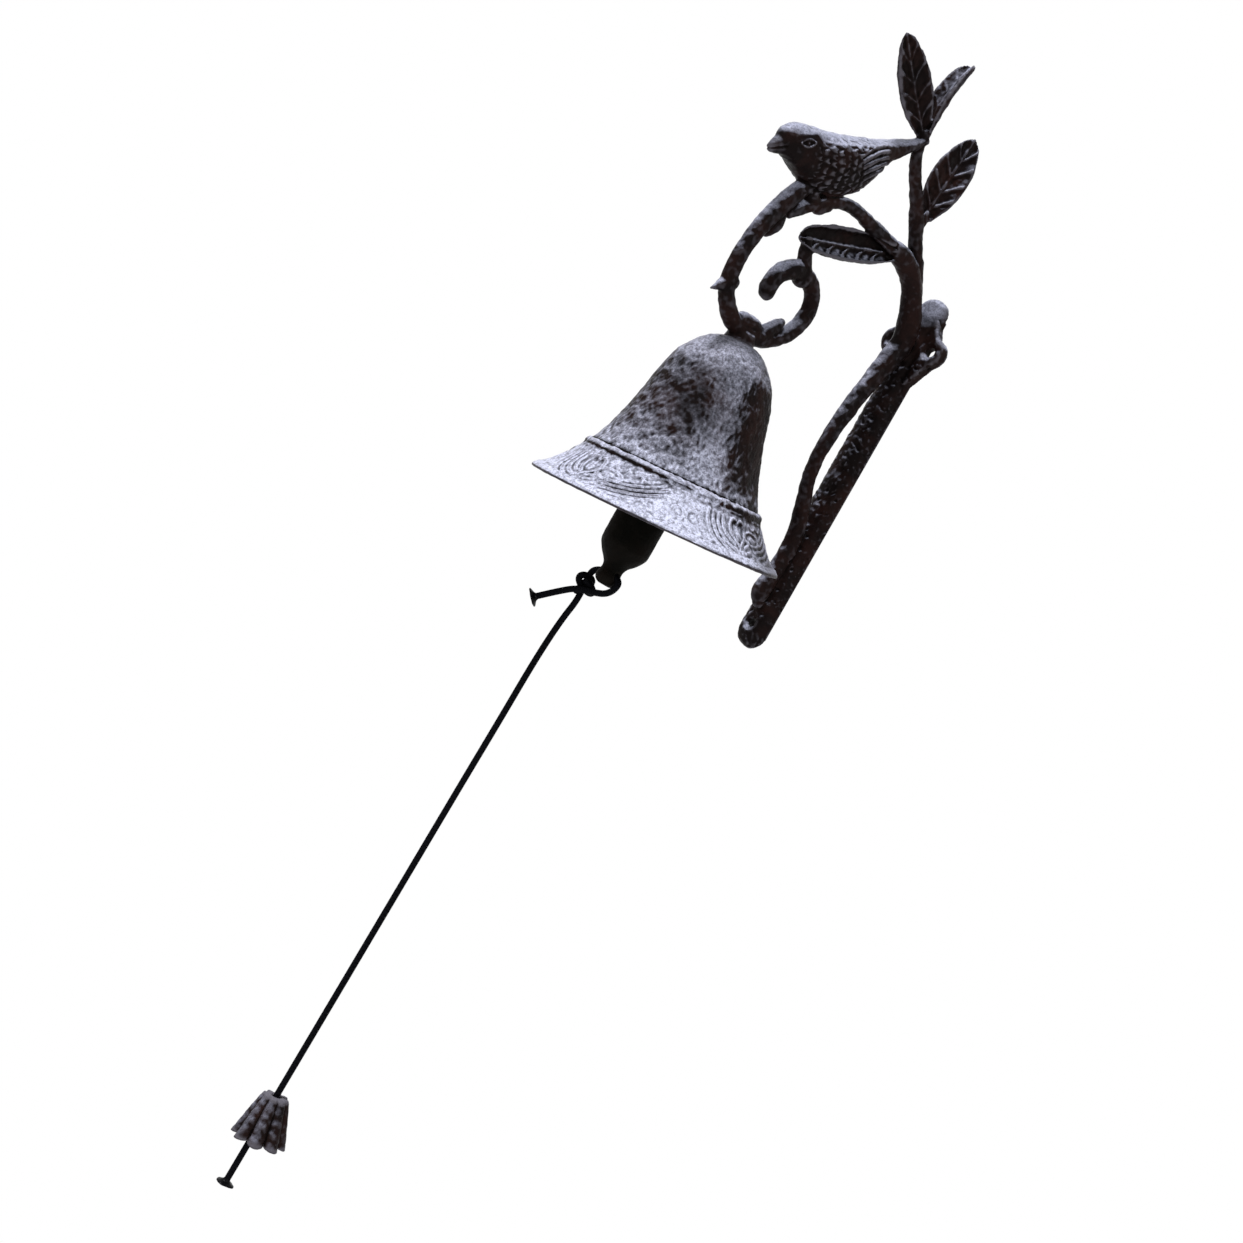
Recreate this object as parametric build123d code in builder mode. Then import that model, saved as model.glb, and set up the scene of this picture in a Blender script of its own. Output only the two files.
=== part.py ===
"""A cast-iron doorbell: a small bird on a leafy scroll bracket, with a bell and a pull cord.

The wall is the plane Y = 0 and the scroll of the bracket lies in the plane X = 0. The origin
is on the wall, midway between the two upper screws. Points on the scroll are written as a
depth, which is the distance from the wall, and a height above the upper screws.
"""

import math
import os

from build123d import *

os.makedirs("parts", exist_ok=True)

# Wall bar and its screws
BAR_WIDTH = 14.8
BAR_DEPTH = 6.5
FOOT_DROP = 143.8
LOWER_SCREW_DROP = 133.5
EAR_SPACING = 20.0
EAR_RADIUS = 6.5
PLATE_DEPTH = 5.0
PLATE_EDGE = 1.0
NECK_WIDTH = 13.0
UPPER_WEB = [(11.2, 5.4), (8.6, 9.5), (5.6, 14.6)]
LOWER_WEB = [(7.0, -17.0), (10.2, -11.0), (13.4, -5.4)]
KNOB_RISE = 15.9
KNOB_RADIUS = 6.5
KNOB_DEPTH = 6.4
SCREW_HOLE_RADIUS = 2.4
COUNTERSINK_RADIUS = 4.7
LOWER_COUNTERSINK_RADIUS = 4.7

# Bell, its tilt and its seat on the scroll
BELL_HEIGHT = 76.2
BELL_TILT = 6.7
CROWN_DEPTH = 94.2
CROWN_HEIGHT = -45.0
CROWN_THICKNESS = 4.6
CROWN_FLAT_RADIUS = 8.4
MOUTH_RADIUS = 52.3
LIP_WIDTH = 3.1
SEAT_RADIUS = 6.0
SEAT_HEIGHT = 4.0

# Eye bolt, nut and washer that hold the bell
STUD_RADIUS = 2.5
STUD_CLEARANCE = 0.05
STUD_REACH = 6.5
BELL_HOLE_CLEARANCE = 0.3
WASHER_RADIUS = 6.5
WASHER_THICKNESS = 1.2
NUT_FLATS = 8.0
NUT_HEIGHT = 4.0
EYE_WIRE_RADIUS = 1.9
EYE_RING_RADIUS = 5.0
EYE_DROP = 18.0

# Clapper
CLAPPER_WIRE_RADIUS = 1.7
CLAPPER_RING_RADIUS = 4.4
EYE_RUNNING_GAP = 0.05
CLAPPER_RADIUS = 10.1
CLAPPER_SHANK_RADIUS = 3.0
CLAPPER_LENGTH = 87.4
CORD_HOLE_RISE = 5.0
CORD_HOLE_CLEARANCE = 0.3

# Cord, its knots and the pull
CORD_RADIUS = 1.3
ARC_SHARE = 0.45
END_RADIUS = 4.3
END_NECK_RADIUS = 2.1
END_NECK = 1.3
END_DISC = 1.3
LOOP_KNOT_RADIUS = 4.0
STOP_KNOT_RADIUS = 3.0
PULL_DROP = 386.4
PULL_HEIGHT = 18.6
PULL_RADIUS = 11.3
PULL_TOP_SHARE = 0.46
PULL_RIBS = 8
RIB_RADIUS = 3.6
RIB_ROOT_SHARE = 0.4
PULL_ROOF = 3.0
PULL_MOUTH_RADIUS = 8.2
PULL_TILT = 7.0
PULL_TILT_HEADING = 44.0
PULL_HOLE_CLEARANCE = 0.5
KNOT_GAP = 0.3

# Leaves: edge and middle thickness, midrib, and how far the ends taper
LEAF_EDGE = 1.5
LEAF_THICKNESS = 2.0
MIDRIB_HALF_WIDTH = 0.14
MIDRIB_HEIGHT = 0.6
LEAF_BEND = 0.3
LEAF_BASE_SHARE = 0.09
LEAF_TIP_SHARE = 0.96
LEAF_STATIONS = 7
LEAF_ROUNDING = 0.8


def place(depth, height, side=0.0):
    """A point from its distance to the wall, its height and its offset to the right."""
    return Vector(side, -depth, height)


def heading(centres, index):
    """The direction of a chain of points at one of them."""
    before = centres[max(index - 1, 0)]
    after = centres[min(index + 1, len(centres) - 1)]
    return (after - before).normalized()


def cast_rod(stations):
    """A round rod that swells and tapers through (depth, height, radius) stations."""
    centres = [place(depth, height) for depth, height, _ in stations]
    radii = [radius for _, _, radius in stations]
    with BuildPart() as rod:
        for index, centre in enumerate(centres):
            section = Plane(origin=centre, x_dir=Vector(1, 0, 0), z_dir=heading(centres, index))
            with BuildSketch(section):
                Circle(radii[index])
        loft()
        for centre, radius in ((centres[0], radii[0]), (centres[-1], radii[-1])):
            with Locations(centre):
                Sphere(radius)
    return rod.part


# Wall bar: a half-round strip with a round foot
with BuildPart() as wall_bar:
    with BuildSketch(Plane.XY.offset(-FOOT_DROP)):
        Ellipse(BAR_WIDTH / 2, BAR_DEPTH)
        with Locations((0, BAR_DEPTH)):
            Rectangle(2 * BAR_WIDTH, 2 * BAR_DEPTH, mode=Mode.SUBTRACT)
    extrude(amount=FOOT_DROP + KNOB_RISE)
    with BuildSketch(Plane.XZ):
        with Locations((0, (KNOB_RISE - FOOT_DROP) / 2)):
            SlotOverall(FOOT_DROP + KNOB_RISE, BAR_WIDTH, rotation=90)
    extrude(amount=2 * BAR_DEPTH, mode=Mode.INTERSECT)

# Trefoil plate: a knob above two ears
with BuildPart() as trefoil:
    with BuildSketch(Plane.XZ):
        with Locations((-EAR_SPACING / 2, 0), (EAR_SPACING / 2, 0)):
            Circle(EAR_RADIUS)
        with Locations((0, KNOB_RISE)):
            Circle(KNOB_RADIUS)
        with Locations((0, (KNOB_RISE - 2 * EAR_RADIUS) / 2)):
            Rectangle(NECK_WIDTH, KNOB_RISE + 2 * EAR_RADIUS)
        right_edge = LOWER_WEB + UPPER_WEB
        Polygon(*right_edge, *[(-x, z) for x, z in reversed(right_edge)], align=None)
    extrude(amount=PLATE_DEPTH)
    front = trefoil.faces().sort_by(Axis.Y)[0]
    fillet(front.edges(), radius=PLATE_EDGE)

# Knob: a cap of a ball, as wide as the plate under it
cap_radius = (KNOB_RADIUS**2 + KNOB_DEPTH**2) / (2 * KNOB_DEPTH)
with BuildPart() as knob:
    with Locations((0, cap_radius - KNOB_DEPTH, KNOB_RISE)):
        Sphere(cap_radius)
    split(bisect_by=Plane.XZ, keep=Keep.TOP)

# Branches of the casting, each told by its (depth, height, radius) stations
VINE_AND_STEM = [
    (7.6, -124.0, 1.8),
    (9.2, -119.5, 3.4),
    (8.6, -111.0, 3.1),
    (8.2, -99.0, 3.4),
    (10.6, -88.5, 3.3),
    (14.8, -80.0, 3.0),
    (18.8, -71.5, 2.7),
    (20.9, -62.0, 2.8),
    (20.9, -51.0, 3.0),
    (19.3, -39.0, 3.3),
    (16.7, -26.5, 3.5),
    (12.8, -14.0, 3.9),
    (10.2, -4.5, 4.2),
    (10.6, 1.5, 4.4),
    (12.8, 7.0, 4.4),
    (16.2, 12.2, 4.2),
    (22.2, 17.8, 4.1),
    (30.0, 22.3, 4.2),
    (37.5, 24.2, 4.2),
    (44.0, 24.4, 3.6),
]
ARCH = [
    (41.0, 24.4, 3.2),
    (51.0, 24.8, 2.8),
    (61.0, 24.8, 2.8),
    (71.0, 24.9, 2.4),
    (80.0, 23.8, 2.4),
    (88.0, 20.4, 2.4),
    (94.0, 16.2, 2.5),
    (99.5, 11.4, 2.3),
    (104.5, 5.5, 1.8),
]
LIMB_AND_SCROLL = [
    (101.0, 23.0, 3.2),
    (105.0, 17.0, 3.4),
    (108.8, 10.2, 3.4),
    (112.0, 2.6, 3.2),
    (114.7, -5.5, 2.9),
    (116.2, -14.5, 2.7),
    (116.4, -22.0, 2.7),
    (114.9, -29.0, 3.0),
    (111.3, -34.7, 3.0),
    (106.3, -38.4, 3.2),
    (100.5, -40.4, 3.6),
    (94.2, -40.6, 3.9),
    (87.4, -39.4, 3.7),
    (80.8, -36.9, 3.2),
    (75.2, -32.8, 3.0),
    (71.0, -27.4, 3.1),
    (69.0, -21.8, 3.1),
    (69.3, -16.3, 3.0),
    (71.8, -11.8, 3.0),
    (76.0, -9.1, 3.1),
    (81.2, -8.2, 3.3),
    (86.8, -9.2, 3.6),
    (91.2, -12.0, 3.7),
    (94.0, -16.0, 3.6),
    (94.8, -20.4, 3.4),
    (94.2, -23.0, 3.0),
]
TWIG = [
    (21.0, 19.0, 3.0),
    (26.0, 25.0, 3.0),
    (29.6, 29.0, 2.7),
    (33.6, 33.0, 2.6),
    (38.8, 38.8, 2.9),
    (46.5, 46.4, 2.4),
    (54.0, 53.0, 2.1),
    (58.9, 58.6, 2.0),
    (61.0, 65.0, 1.9),
    (61.3, 71.5, 1.4),
]
STUB = [
    (82.2, -9.0, 2.9),
    (84.9, -4.4, 2.6),
    (86.8, -0.8, 2.3),
    (88.6, 2.4, 2.0),
]
PETIOLE = [
    (38.0, 37.4, 2.4),
    (37.2, 40.5, 1.8),
    (36.8, 43.5, 1.5),
]
LIMB_BUD = [
    (108.3, 5.0, 1.6),
    (107.8, 0.0, 2.6),
    (109.2, -4.0, 2.3),
    (110.2, -6.2, 1.2),
]
THORN = [
    (115.2, -28.0, 3.0),
    (118.2, -32.6, 2.3),
    (120.2, -35.8, 1.2),
]
SCROLL_BUD = [
    (86.0, -37.5, 3.0),
    (82.6, -33.4, 2.8),
    (80.2, -30.4, 2.5),
    (79.2, -28.8, 1.5),
]
ARCH_BUD = [
    (96.6, 14.4, 1.6),
    (92.8, 15.2, 2.8),
    (89.2, 18.0, 2.5),
]
BRANCHES = [VINE_AND_STEM, ARCH, LIMB_AND_SCROLL, TWIG, STUB, PETIOLE]
BRANCHES += [LIMB_BUD, THORN, SCROLL_BUD, ARCH_BUD]

# Leaves: base, tip, the way the upper face looks, half width, fold and sag
LEAVES = [
    (place(61.9, 66.3), place(96.6, 88.8), Vector(0.86, -0.5, 0.1), 8.2, 1.6, 0.6),
    (place(60.9, 67.6), place(57.0, 101.3), Vector(-0.42, -0.91, 0), 6.0, 1.8, -2.6),
    (place(37.2, 42.5), place(33.6, 81.2), Vector(0.69, -0.72, 0), 7.9, 1.6, -0.8),
    (place(43.0, 22.6), place(92.8, 2.0), Vector(0.9, -0.35, 0.25), 6.6, 2.8, 1.2),
]


def cast_leaf(base, tip, face, half_width, fold, sag):
    """A folded leaf blade with a raised midrib, from its base to its pointed tip."""
    along = (tip - base).normalized()
    across = face.cross(along).normalized()
    with BuildPart() as leaf:
        for index in range(LEAF_STATIONS):
            share = index / (LEAF_STATIONS - 1)
            widening = LEAF_BASE_SHARE + (LEAF_TIP_SHARE - LEAF_BASE_SHARE) * share
            swell = math.sin(math.pi * widening) ** LEAF_ROUNDING
            reach = half_width * swell
            rise = fold * swell
            bow = 4 * sag * share * (1 - share)
            centre = base + (tip - base) * share - along.cross(across) * bow
            upper = [(-1.0, rise), (-0.5, LEAF_BEND * rise), (-MIDRIB_HALF_WIDTH, 0.0)]
            upper += [(0.0, MIDRIB_HEIGHT * swell)]
            upper += [(-x, y) for x, y in reversed(upper[:3])]
            lower = [(1.0, rise - LEAF_EDGE * swell), (0.0, -LEAF_THICKNESS * swell)]
            lower += [(-1.0, rise - LEAF_EDGE * swell)]
            with BuildSketch(Plane(origin=centre, x_dir=across, z_dir=along)):
                with BuildLine():
                    Polyline(*[(x * reach, y) for x, y in upper + lower], close=True)
                make_face()
        loft()
    return leaf.part


# Bird: beak, head, body and tail along an axis that leans down to the beak
BEAK_TIP = place(131.4, 18.0)
TAIL_TIP = place(58.8, 66.3)
BIRD_STATIONS = [
    (6.2, 2.7, 3.8, 3.8),
    (11.0, 1.8, 7.0, 6.6),
    (17.4, -1.7, 9.4, 8.4),
    (25.6, -5.7, 11.6, 10.2),
    (36.0, -7.6, 12.1, 11.0),
    (46.0, -7.7, 10.8, 10.2),
    (54.0, -6.4, 8.4, 8.2),
    (61.0, -4.6, 5.6, 6.2),
    (69.0, -3.2, 3.9, 5.0),
    (78.0, -2.2, 2.5, 3.9),
    (86.0, -0.9, 1.6, 2.7),
]
HEAD = (13.9, 1.7, 7.5)
BEAK_BASE = (8.5, 1.0, 4.9)
BEAK_END = (0.6, 0.4, 1.0)
EYE = (16.8, 3.0, 6.2)
EYE_RADIUS = 1.15
WING_STATIONS = [
    (22.0, -3.0, 3.6, 6.4, 2.4),
    (30.0, -4.6, 6.8, 8.4, 3.0),
    (40.0, -5.2, 6.6, 8.4, 2.9),
    (50.0, -4.6, 5.2, 7.0, 2.4),
    (60.0, -3.0, 3.4, 5.0, 1.8),
    (68.0, -1.9, 1.4, 3.9, 1.1),
]

bird_along = (TAIL_TIP - BEAK_TIP).normalized()
bird_up = Vector(1, 0, 0).cross(bird_along)
if bird_up.Z < 0:
    bird_up = -bird_up


def on_bird(distance, rise, side=0.0):
    """A point from its distance behind the beak, its rise off the axis and its side."""
    return BEAK_TIP + bird_along * distance + bird_up * rise + Vector(side, 0, 0)


def bird_section(distance, rise, side=0.0):
    """The plane across the bird at one distance behind the beak."""
    return Plane(
        origin=on_bird(distance, rise, side), x_dir=Vector(1, 0, 0), z_dir=bird_along
    )


with BuildPart() as bird:
    for distance, rise, half_height, half_width in BIRD_STATIONS:
        with BuildSketch(bird_section(distance, rise)):
            Ellipse(half_width, half_height)
    loft()
    with Locations(on_bird(HEAD[0], HEAD[1])):
        Sphere(HEAD[2])
    for distance, rise, radius in (BEAK_BASE, BEAK_END):
        with BuildSketch(bird_section(distance, rise)):
            Circle(radius)
    loft()
    with Locations(on_bird(*EYE), on_bird(EYE[0], EYE[1], -EYE[2])):
        Sphere(EYE_RADIUS)

with BuildPart() as wing:
    for distance, rise, half_height, side, half_width in WING_STATIONS:
        with BuildSketch(bird_section(distance, rise, side)):
            Ellipse(half_width, half_height)
    loft()

# Bell, told in its own frame: mouth at zero height, crown at the bell's height
bell_up = place(math.sin(math.radians(BELL_TILT)), math.cos(math.radians(BELL_TILT)))
crown = place(CROWN_DEPTH, CROWN_HEIGHT)
mouth = crown - bell_up * BELL_HEIGHT
bell_across = Plane(origin=mouth, x_dir=Vector(1, 0, 0), z_dir=Vector(1, 0, 0).cross(bell_up))
bell_axis = Axis(mouth, bell_up)
crown_inside = BELL_HEIGHT - CROWN_THICKNESS


def up_bell(height):
    """The plane across the bell at a height above its mouth."""
    return Plane(origin=mouth + bell_up * height, x_dir=Vector(1, 0, 0), z_dir=bell_up)


with BuildPart() as bell:
    with BuildSketch(bell_across):
        with BuildLine():
            Line((0, BELL_HEIGHT), (SEAT_RADIUS, BELL_HEIGHT))
            Spline(
                (SEAT_RADIUS, BELL_HEIGHT),
                (8.8, BELL_HEIGHT - 0.8),
                (13.9, BELL_HEIGHT - 4.2),
                (20.0, BELL_HEIGHT - 12.2),
                (23.4, 54.4),
                (25.1, 47.6),
                (27.7, 38.4),
                (31.0, 28.4),
                (35.0, 19.8),
            )
            ThreePointArc((35.0, 19.8), (37.2, 18.6), (37.9, 16.0))
            Spline((37.9, 16.0), (44.6, 7.6), (MOUTH_RADIUS - 0.4, 1.6))
            ThreePointArc(
                (MOUTH_RADIUS - 0.4, 1.6), (MOUTH_RADIUS, 0.7), (MOUTH_RADIUS - 0.6, 0)
            )
            Line((MOUTH_RADIUS - 0.6, 0), (MOUTH_RADIUS - LIP_WIDTH, 0))
            Spline(
                (MOUTH_RADIUS - LIP_WIDTH, 0),
                (42.2, 5.4),
                (33.5, 17.4),
                (27.8, 28.0),
                (24.2, 38.2),
                (21.3, 47.2),
                (19.3, 53.7),
                (16.2, crown_inside - 8.9),
                (11.8, crown_inside - 2.2),
                (CROWN_FLAT_RADIUS, crown_inside),
            )
            Line((CROWN_FLAT_RADIUS, crown_inside), (0, crown_inside))
            Line((0, crown_inside), (0, BELL_HEIGHT))
        make_face()
    revolve(axis=bell_axis)
    with Locations(up_bell(BELL_HEIGHT)):
        Hole(STUD_RADIUS + BELL_HOLE_CLEARANCE, depth=2 * CROWN_THICKNESS)

# Bracket: bar, trefoil, branches, leaves and bird are one casting
rods = [cast_rod(stations) for stations in BRANCHES]
blades = [cast_leaf(*leaf) for leaf in LEAVES]
front_face = -PLATE_DEPTH
with BuildPart() as bracket:
    add(wall_bar.part)
    add(trefoil.part)
    add(knob.part)
    with Locations(
        Plane(origin=(-EAR_SPACING / 2, front_face, 0), z_dir=(0, -1, 0)),
        Plane(origin=(EAR_SPACING / 2, front_face, 0), z_dir=(0, -1, 0)),
    ):
        CounterSinkHole(SCREW_HOLE_RADIUS, COUNTERSINK_RADIUS)
    with Locations(Plane(origin=(0, -BAR_DEPTH, -LOWER_SCREW_DROP), z_dir=(0, -1, 0))):
        CounterSinkHole(SCREW_HOLE_RADIUS, LOWER_COUNTERSINK_RADIUS)
    for rod in rods:
        add(rod)
    for blade in blades:
        add(blade)
    add(bird.part)
    add(wing.part)
    add(mirror(wing.part, about=Plane.YZ, mode=Mode.PRIVATE))
    with BuildSketch(up_bell(BELL_HEIGHT)):
        Circle(SEAT_RADIUS)
    extrude(amount=SEAT_HEIGHT)
    with Locations(up_bell(BELL_HEIGHT).location * Location((0, 0, 0), (180, 0, 0))):
        Hole(STUD_RADIUS + STUD_CLEARANCE, depth=STUD_REACH)

# Eye bolt, washer and nut
eye_centre = crown - bell_up * EYE_DROP
with BuildPart() as eye_bolt:
    with BuildSketch(up_bell(BELL_HEIGHT - EYE_DROP + EYE_RING_RADIUS)):
        Circle(STUD_RADIUS)
    extrude(amount=EYE_DROP - EYE_RING_RADIUS + STUD_REACH - STUD_CLEARANCE)
    with Locations(Plane(origin=eye_centre, x_dir=bell_up, z_dir=Vector(1, 0, 0))):
        Torus(EYE_RING_RADIUS, EYE_WIRE_RADIUS)

with BuildPart() as washer:
    with BuildSketch(up_bell(crown_inside - WASHER_THICKNESS)):
        Circle(WASHER_RADIUS)
        Circle(STUD_RADIUS + BELL_HOLE_CLEARANCE, mode=Mode.SUBTRACT)
    extrude(amount=WASHER_THICKNESS)

with BuildPart() as nut:
    with BuildSketch(up_bell(crown_inside - WASHER_THICKNESS - NUT_HEIGHT)):
        RegularPolygon(NUT_FLATS / 2, 6, major_radius=False)
        Circle(STUD_RADIUS + STUD_CLEARANCE, mode=Mode.SUBTRACT)
    extrude(amount=NUT_HEIGHT)

# Clapper: its ring hangs in the eye of the bolt, and it hangs plumb
ring_contact = EYE_WIRE_RADIUS + CLAPPER_WIRE_RADIUS + EYE_RUNNING_GAP
pivot = eye_centre - Vector(0, 0, EYE_RING_RADIUS - ring_contact)
ring_centre = pivot - Vector(0, 0, CLAPPER_RING_RADIUS)
clapper_foot = pivot - Vector(0, 0, CLAPPER_LENGTH)
clapper_across = Plane(origin=clapper_foot, x_dir=Vector(1, 0, 0), z_dir=Vector(0, -1, 0))
shank_top = CLAPPER_LENGTH - 2 * CLAPPER_RING_RADIUS
with BuildPart() as clapper:
    with BuildSketch(clapper_across):
        with BuildLine():
            Line((0, 0), (2.6, 0))
            Spline(
                (2.6, 0),
                (4.9, 2.6),
                (4.3, 6.0),
                (5.4, 9.4),
                (8.8, 13.6),
                (CLAPPER_RADIUS, 17.6),
                tangents=((1, 0.2), (0, 1)),
            )
            Line((CLAPPER_RADIUS, 17.6), (CLAPPER_RADIUS, 31.0))
            Spline(
                (CLAPPER_RADIUS, 31.0),
                (7.6, 40.5),
                (4.2, 48.5),
                (CLAPPER_SHANK_RADIUS, 56.0),
                tangents=((0, 1), (0, 1)),
            )
            Line((CLAPPER_SHANK_RADIUS, 56.0), (CLAPPER_SHANK_RADIUS, shank_top))
            Line((CLAPPER_SHANK_RADIUS, shank_top), (0, shank_top))
            Line((0, shank_top), (0, 0))
        make_face()
    revolve(axis=Axis(clapper_foot, Vector(0, 0, 1)))
    with Locations(Plane(origin=ring_centre, z_dir=Vector(0, 1, 0))):
        Torus(CLAPPER_RING_RADIUS, CLAPPER_WIRE_RADIUS)
    cord_hole = clapper_foot + Vector(0, 0, CORD_HOLE_RISE)
    with Locations(Plane(origin=cord_hole, z_dir=Vector(1, 0, 0))):
        Cylinder(CORD_RADIUS + CORD_HOLE_CLEARANCE, 4 * CLAPPER_RADIUS, mode=Mode.SUBTRACT)

# Cord: it is threaded through the clapper's foot, knotted below, and hangs to the pull
HOLE_DROP = -cord_hole.Z
HOLE_DEPTH = -cord_hole.Y
pull_route = [
    place(HOLE_DEPTH, -HOLE_DROP),
    place(HOLE_DEPTH, -HOLE_DROP, -9.2),
    place(91.4, -154.4, -10.1),
    place(91.4, -161.0, -8.9),
    place(92.7, -172.0, -10.0),
    place(93.6, -190.0, -10.6),
    place(93.8, -217.0, -10.8),
    place(94.2, -252.0, -11.4),
    place(96.3, -423.6, -12.9),
]
loop_route = [
    place(HOLE_DEPTH, -HOLE_DROP),
    place(HOLE_DEPTH, -HOLE_DROP, 7.8),
    place(92.2, -153.8, 5.6),
    place(93.4, -156.4, -2.4),
    place(94.4, -157.6, -9.0),
    place(97.4, -161.6, -13.4),
    place(101.6, -168.2, -19.2),
]


def corner_radii(route):
    """The largest tangent arc at each corner of a route, from its two runs."""
    radii = []
    for before, corner, after in zip(route, route[1:], route[2:]):
        run = min((corner - before).length, (after - corner).length)
        turn = (corner - before).get_angle(after - corner)
        radii.append(ARC_SHARE * run / math.tan(math.radians(turn / 2)))
    return radii


def cord_tube(route, name):
    """A plain round cord along straight runs joined by tangent arcs."""
    radii = corner_radii(route)
    with BuildPart() as tube:
        with BuildLine() as path:
            FilletPolyline(*route, radius=radii)
        with BuildSketch(Plane(origin=route[0], z_dir=route[1] - route[0])):
            Circle(CORD_RADIUS)
        sweep()
    length = path.wire().length
    print(name, "length", round(length, 1), "radii", [round(radius, 1) for radius in radii])
    share = tube.part.volume / (math.pi * CORD_RADIUS**2 * length)
    print(name, "volume over section times length", round(share, 4))
    return tube


def melted_end(route):
    """The flared end where a cut cord was melted flat."""
    run = (route[-1] - route[-2]).normalized()
    with BuildPart() as end:
        for distance, radius in ((0, CORD_RADIUS), (END_NECK, END_NECK_RADIUS)):
            with BuildSketch(Plane(origin=route[-1] + run * distance, z_dir=run)):
                Circle(radius)
        loft()
        with BuildSketch(Plane(origin=route[-1] + run * END_NECK, z_dir=run)):
            Circle(END_RADIUS)
        extrude(amount=END_DISC)
    return end


pull_cord = cord_tube(pull_route, "pull_cord")
loop_cord = cord_tube(loop_route, "loop_cord")
pull_cord_end = melted_end(pull_route)
loop_cord_end = melted_end(loop_route)

KNOT_LUMPS = [
    place(92.2, -152.6, -10.4),
    place(92.0, -156.0, -9.0),
    place(92.4, -157.2, -6.4),
]
with BuildPart() as loop_knot:
    with Locations(*KNOT_LUMPS):
        Sphere(LOOP_KNOT_RADIUS)

# Pull: a small ribbed bell threaded on the cord, resting on a stop knot inside it
cord_down = (pull_route[-1] - pull_route[-2]).normalized()
cord_above = pull_route[-2]
pull_top = cord_above + cord_down * ((PULL_DROP + cord_above.Z) / -cord_down.Z)
lean = math.radians(PULL_TILT)
lean_heading = math.radians(PULL_TILT_HEADING)
pull_up = Vector(
    -math.sin(lean) * math.cos(lean_heading),
    -math.sin(lean) * math.sin(lean_heading),
    math.cos(lean),
)


def across_pull(drop):
    """The plane across the pull at a distance below its top."""
    return Plane(origin=pull_top - pull_up * drop, z_dir=pull_up)


with BuildPart() as pull:
    for drop, share in ((0, PULL_TOP_SHARE), (PULL_HEIGHT, 1.0)):
        with BuildSketch(across_pull(drop)):
            ring = share * (PULL_RADIUS - RIB_RADIUS)
            Circle(ring + RIB_ROOT_SHARE * share * RIB_RADIUS)
            with PolarLocations(ring, PULL_RIBS):
                Circle(share * RIB_RADIUS)
    loft()
    roof_radius = STOP_KNOT_RADIUS + 3 * KNOT_GAP
    for drop, radius in ((PULL_ROOF, roof_radius), (PULL_HEIGHT, PULL_MOUTH_RADIUS)):
        with BuildSketch(across_pull(drop)):
            Circle(radius)
    loft(mode=Mode.SUBTRACT)
    with Locations(across_pull(0)):
        Hole(CORD_RADIUS + PULL_HOLE_CLEARANCE, depth=2 * PULL_ROOF)

with BuildPart() as stop_knot:
    with Locations(pull_top + cord_down * (PULL_ROOF + STOP_KNOT_RADIUS + 2 * KNOT_GAP)):
        Sphere(STOP_KNOT_RADIUS)

SUB_PARTS = {
    "bracket": bracket,
    "bell": bell,
    "eye_bolt": eye_bolt,
    "washer": washer,
    "nut": nut,
    "clapper": clapper,
    "pull_cord": pull_cord,
    "loop_cord": loop_cord,
    "loop_knot": loop_knot,
    "stop_knot": stop_knot,
    "pull_cord_end": pull_cord_end,
    "loop_cord_end": loop_cord_end,
    "pull": pull,
}
for name, sub_part in SUB_PARTS.items():
    sub_part.part.label = name
    export_step(sub_part.part, f"parts/{name}.step")
print("clapper pivot", pivot)
print("cord hole", cord_hole)
print("mouth of the bell", mouth)
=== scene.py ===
"""Visual model of a cast-iron doorbell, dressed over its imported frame.

A small bird sits on a leafy scroll bracket. The bracket carries a bell, and a cord with a ribbed
pull swings the clapper against it. Sizes in the classes are millimetres in the frame of the part:
the wall is Y = 0, Z is up, and a point on the scroll is told by its depth, which is its distance
from the wall, and its height above the upper screws.
"""

from __future__ import annotations

import itertools
import logging
import math
from dataclasses import dataclass
from enum import Enum
from typing import Sequence

import bpy
import numpy as np
from mathutils import Matrix, Vector

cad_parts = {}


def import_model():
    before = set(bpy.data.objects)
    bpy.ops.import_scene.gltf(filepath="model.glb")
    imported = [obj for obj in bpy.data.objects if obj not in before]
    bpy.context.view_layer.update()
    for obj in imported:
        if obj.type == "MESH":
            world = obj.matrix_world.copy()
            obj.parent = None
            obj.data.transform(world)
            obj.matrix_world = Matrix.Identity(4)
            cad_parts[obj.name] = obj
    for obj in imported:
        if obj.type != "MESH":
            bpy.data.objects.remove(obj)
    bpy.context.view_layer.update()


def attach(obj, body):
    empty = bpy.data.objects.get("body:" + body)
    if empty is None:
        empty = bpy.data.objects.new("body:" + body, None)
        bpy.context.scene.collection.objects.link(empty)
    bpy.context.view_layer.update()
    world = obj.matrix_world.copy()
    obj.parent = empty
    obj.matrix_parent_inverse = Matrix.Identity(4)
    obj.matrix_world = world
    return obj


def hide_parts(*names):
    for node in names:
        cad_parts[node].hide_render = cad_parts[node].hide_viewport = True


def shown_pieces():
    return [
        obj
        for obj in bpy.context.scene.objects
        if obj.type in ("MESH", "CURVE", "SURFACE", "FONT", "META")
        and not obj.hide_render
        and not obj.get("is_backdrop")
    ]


LOG = logging.getLogger("doorbell")
METRE = 0.001
Row = tuple[float, ...]
Rows = tuple[Row, ...]
NOISE_TURN = np.array(((0.36, 0.48, -0.8), (-0.8, 0.6, 0.0), (0.48, 0.64, 0.6)))
NOISE_MIX = np.array(
    ((12.9898, 39.3461, 73.1560), (78.2330, 11.1350, 52.2350), (37.7190, 83.1550, 9.1510))
)
NOISE_SPREAD = 43758.5453
NOISE_GAIN = 1.7
SEED_STEP = 17.3
SMOOTHING = 0.6
RIGHT = (1.0, 0.0, 0.0)
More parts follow.
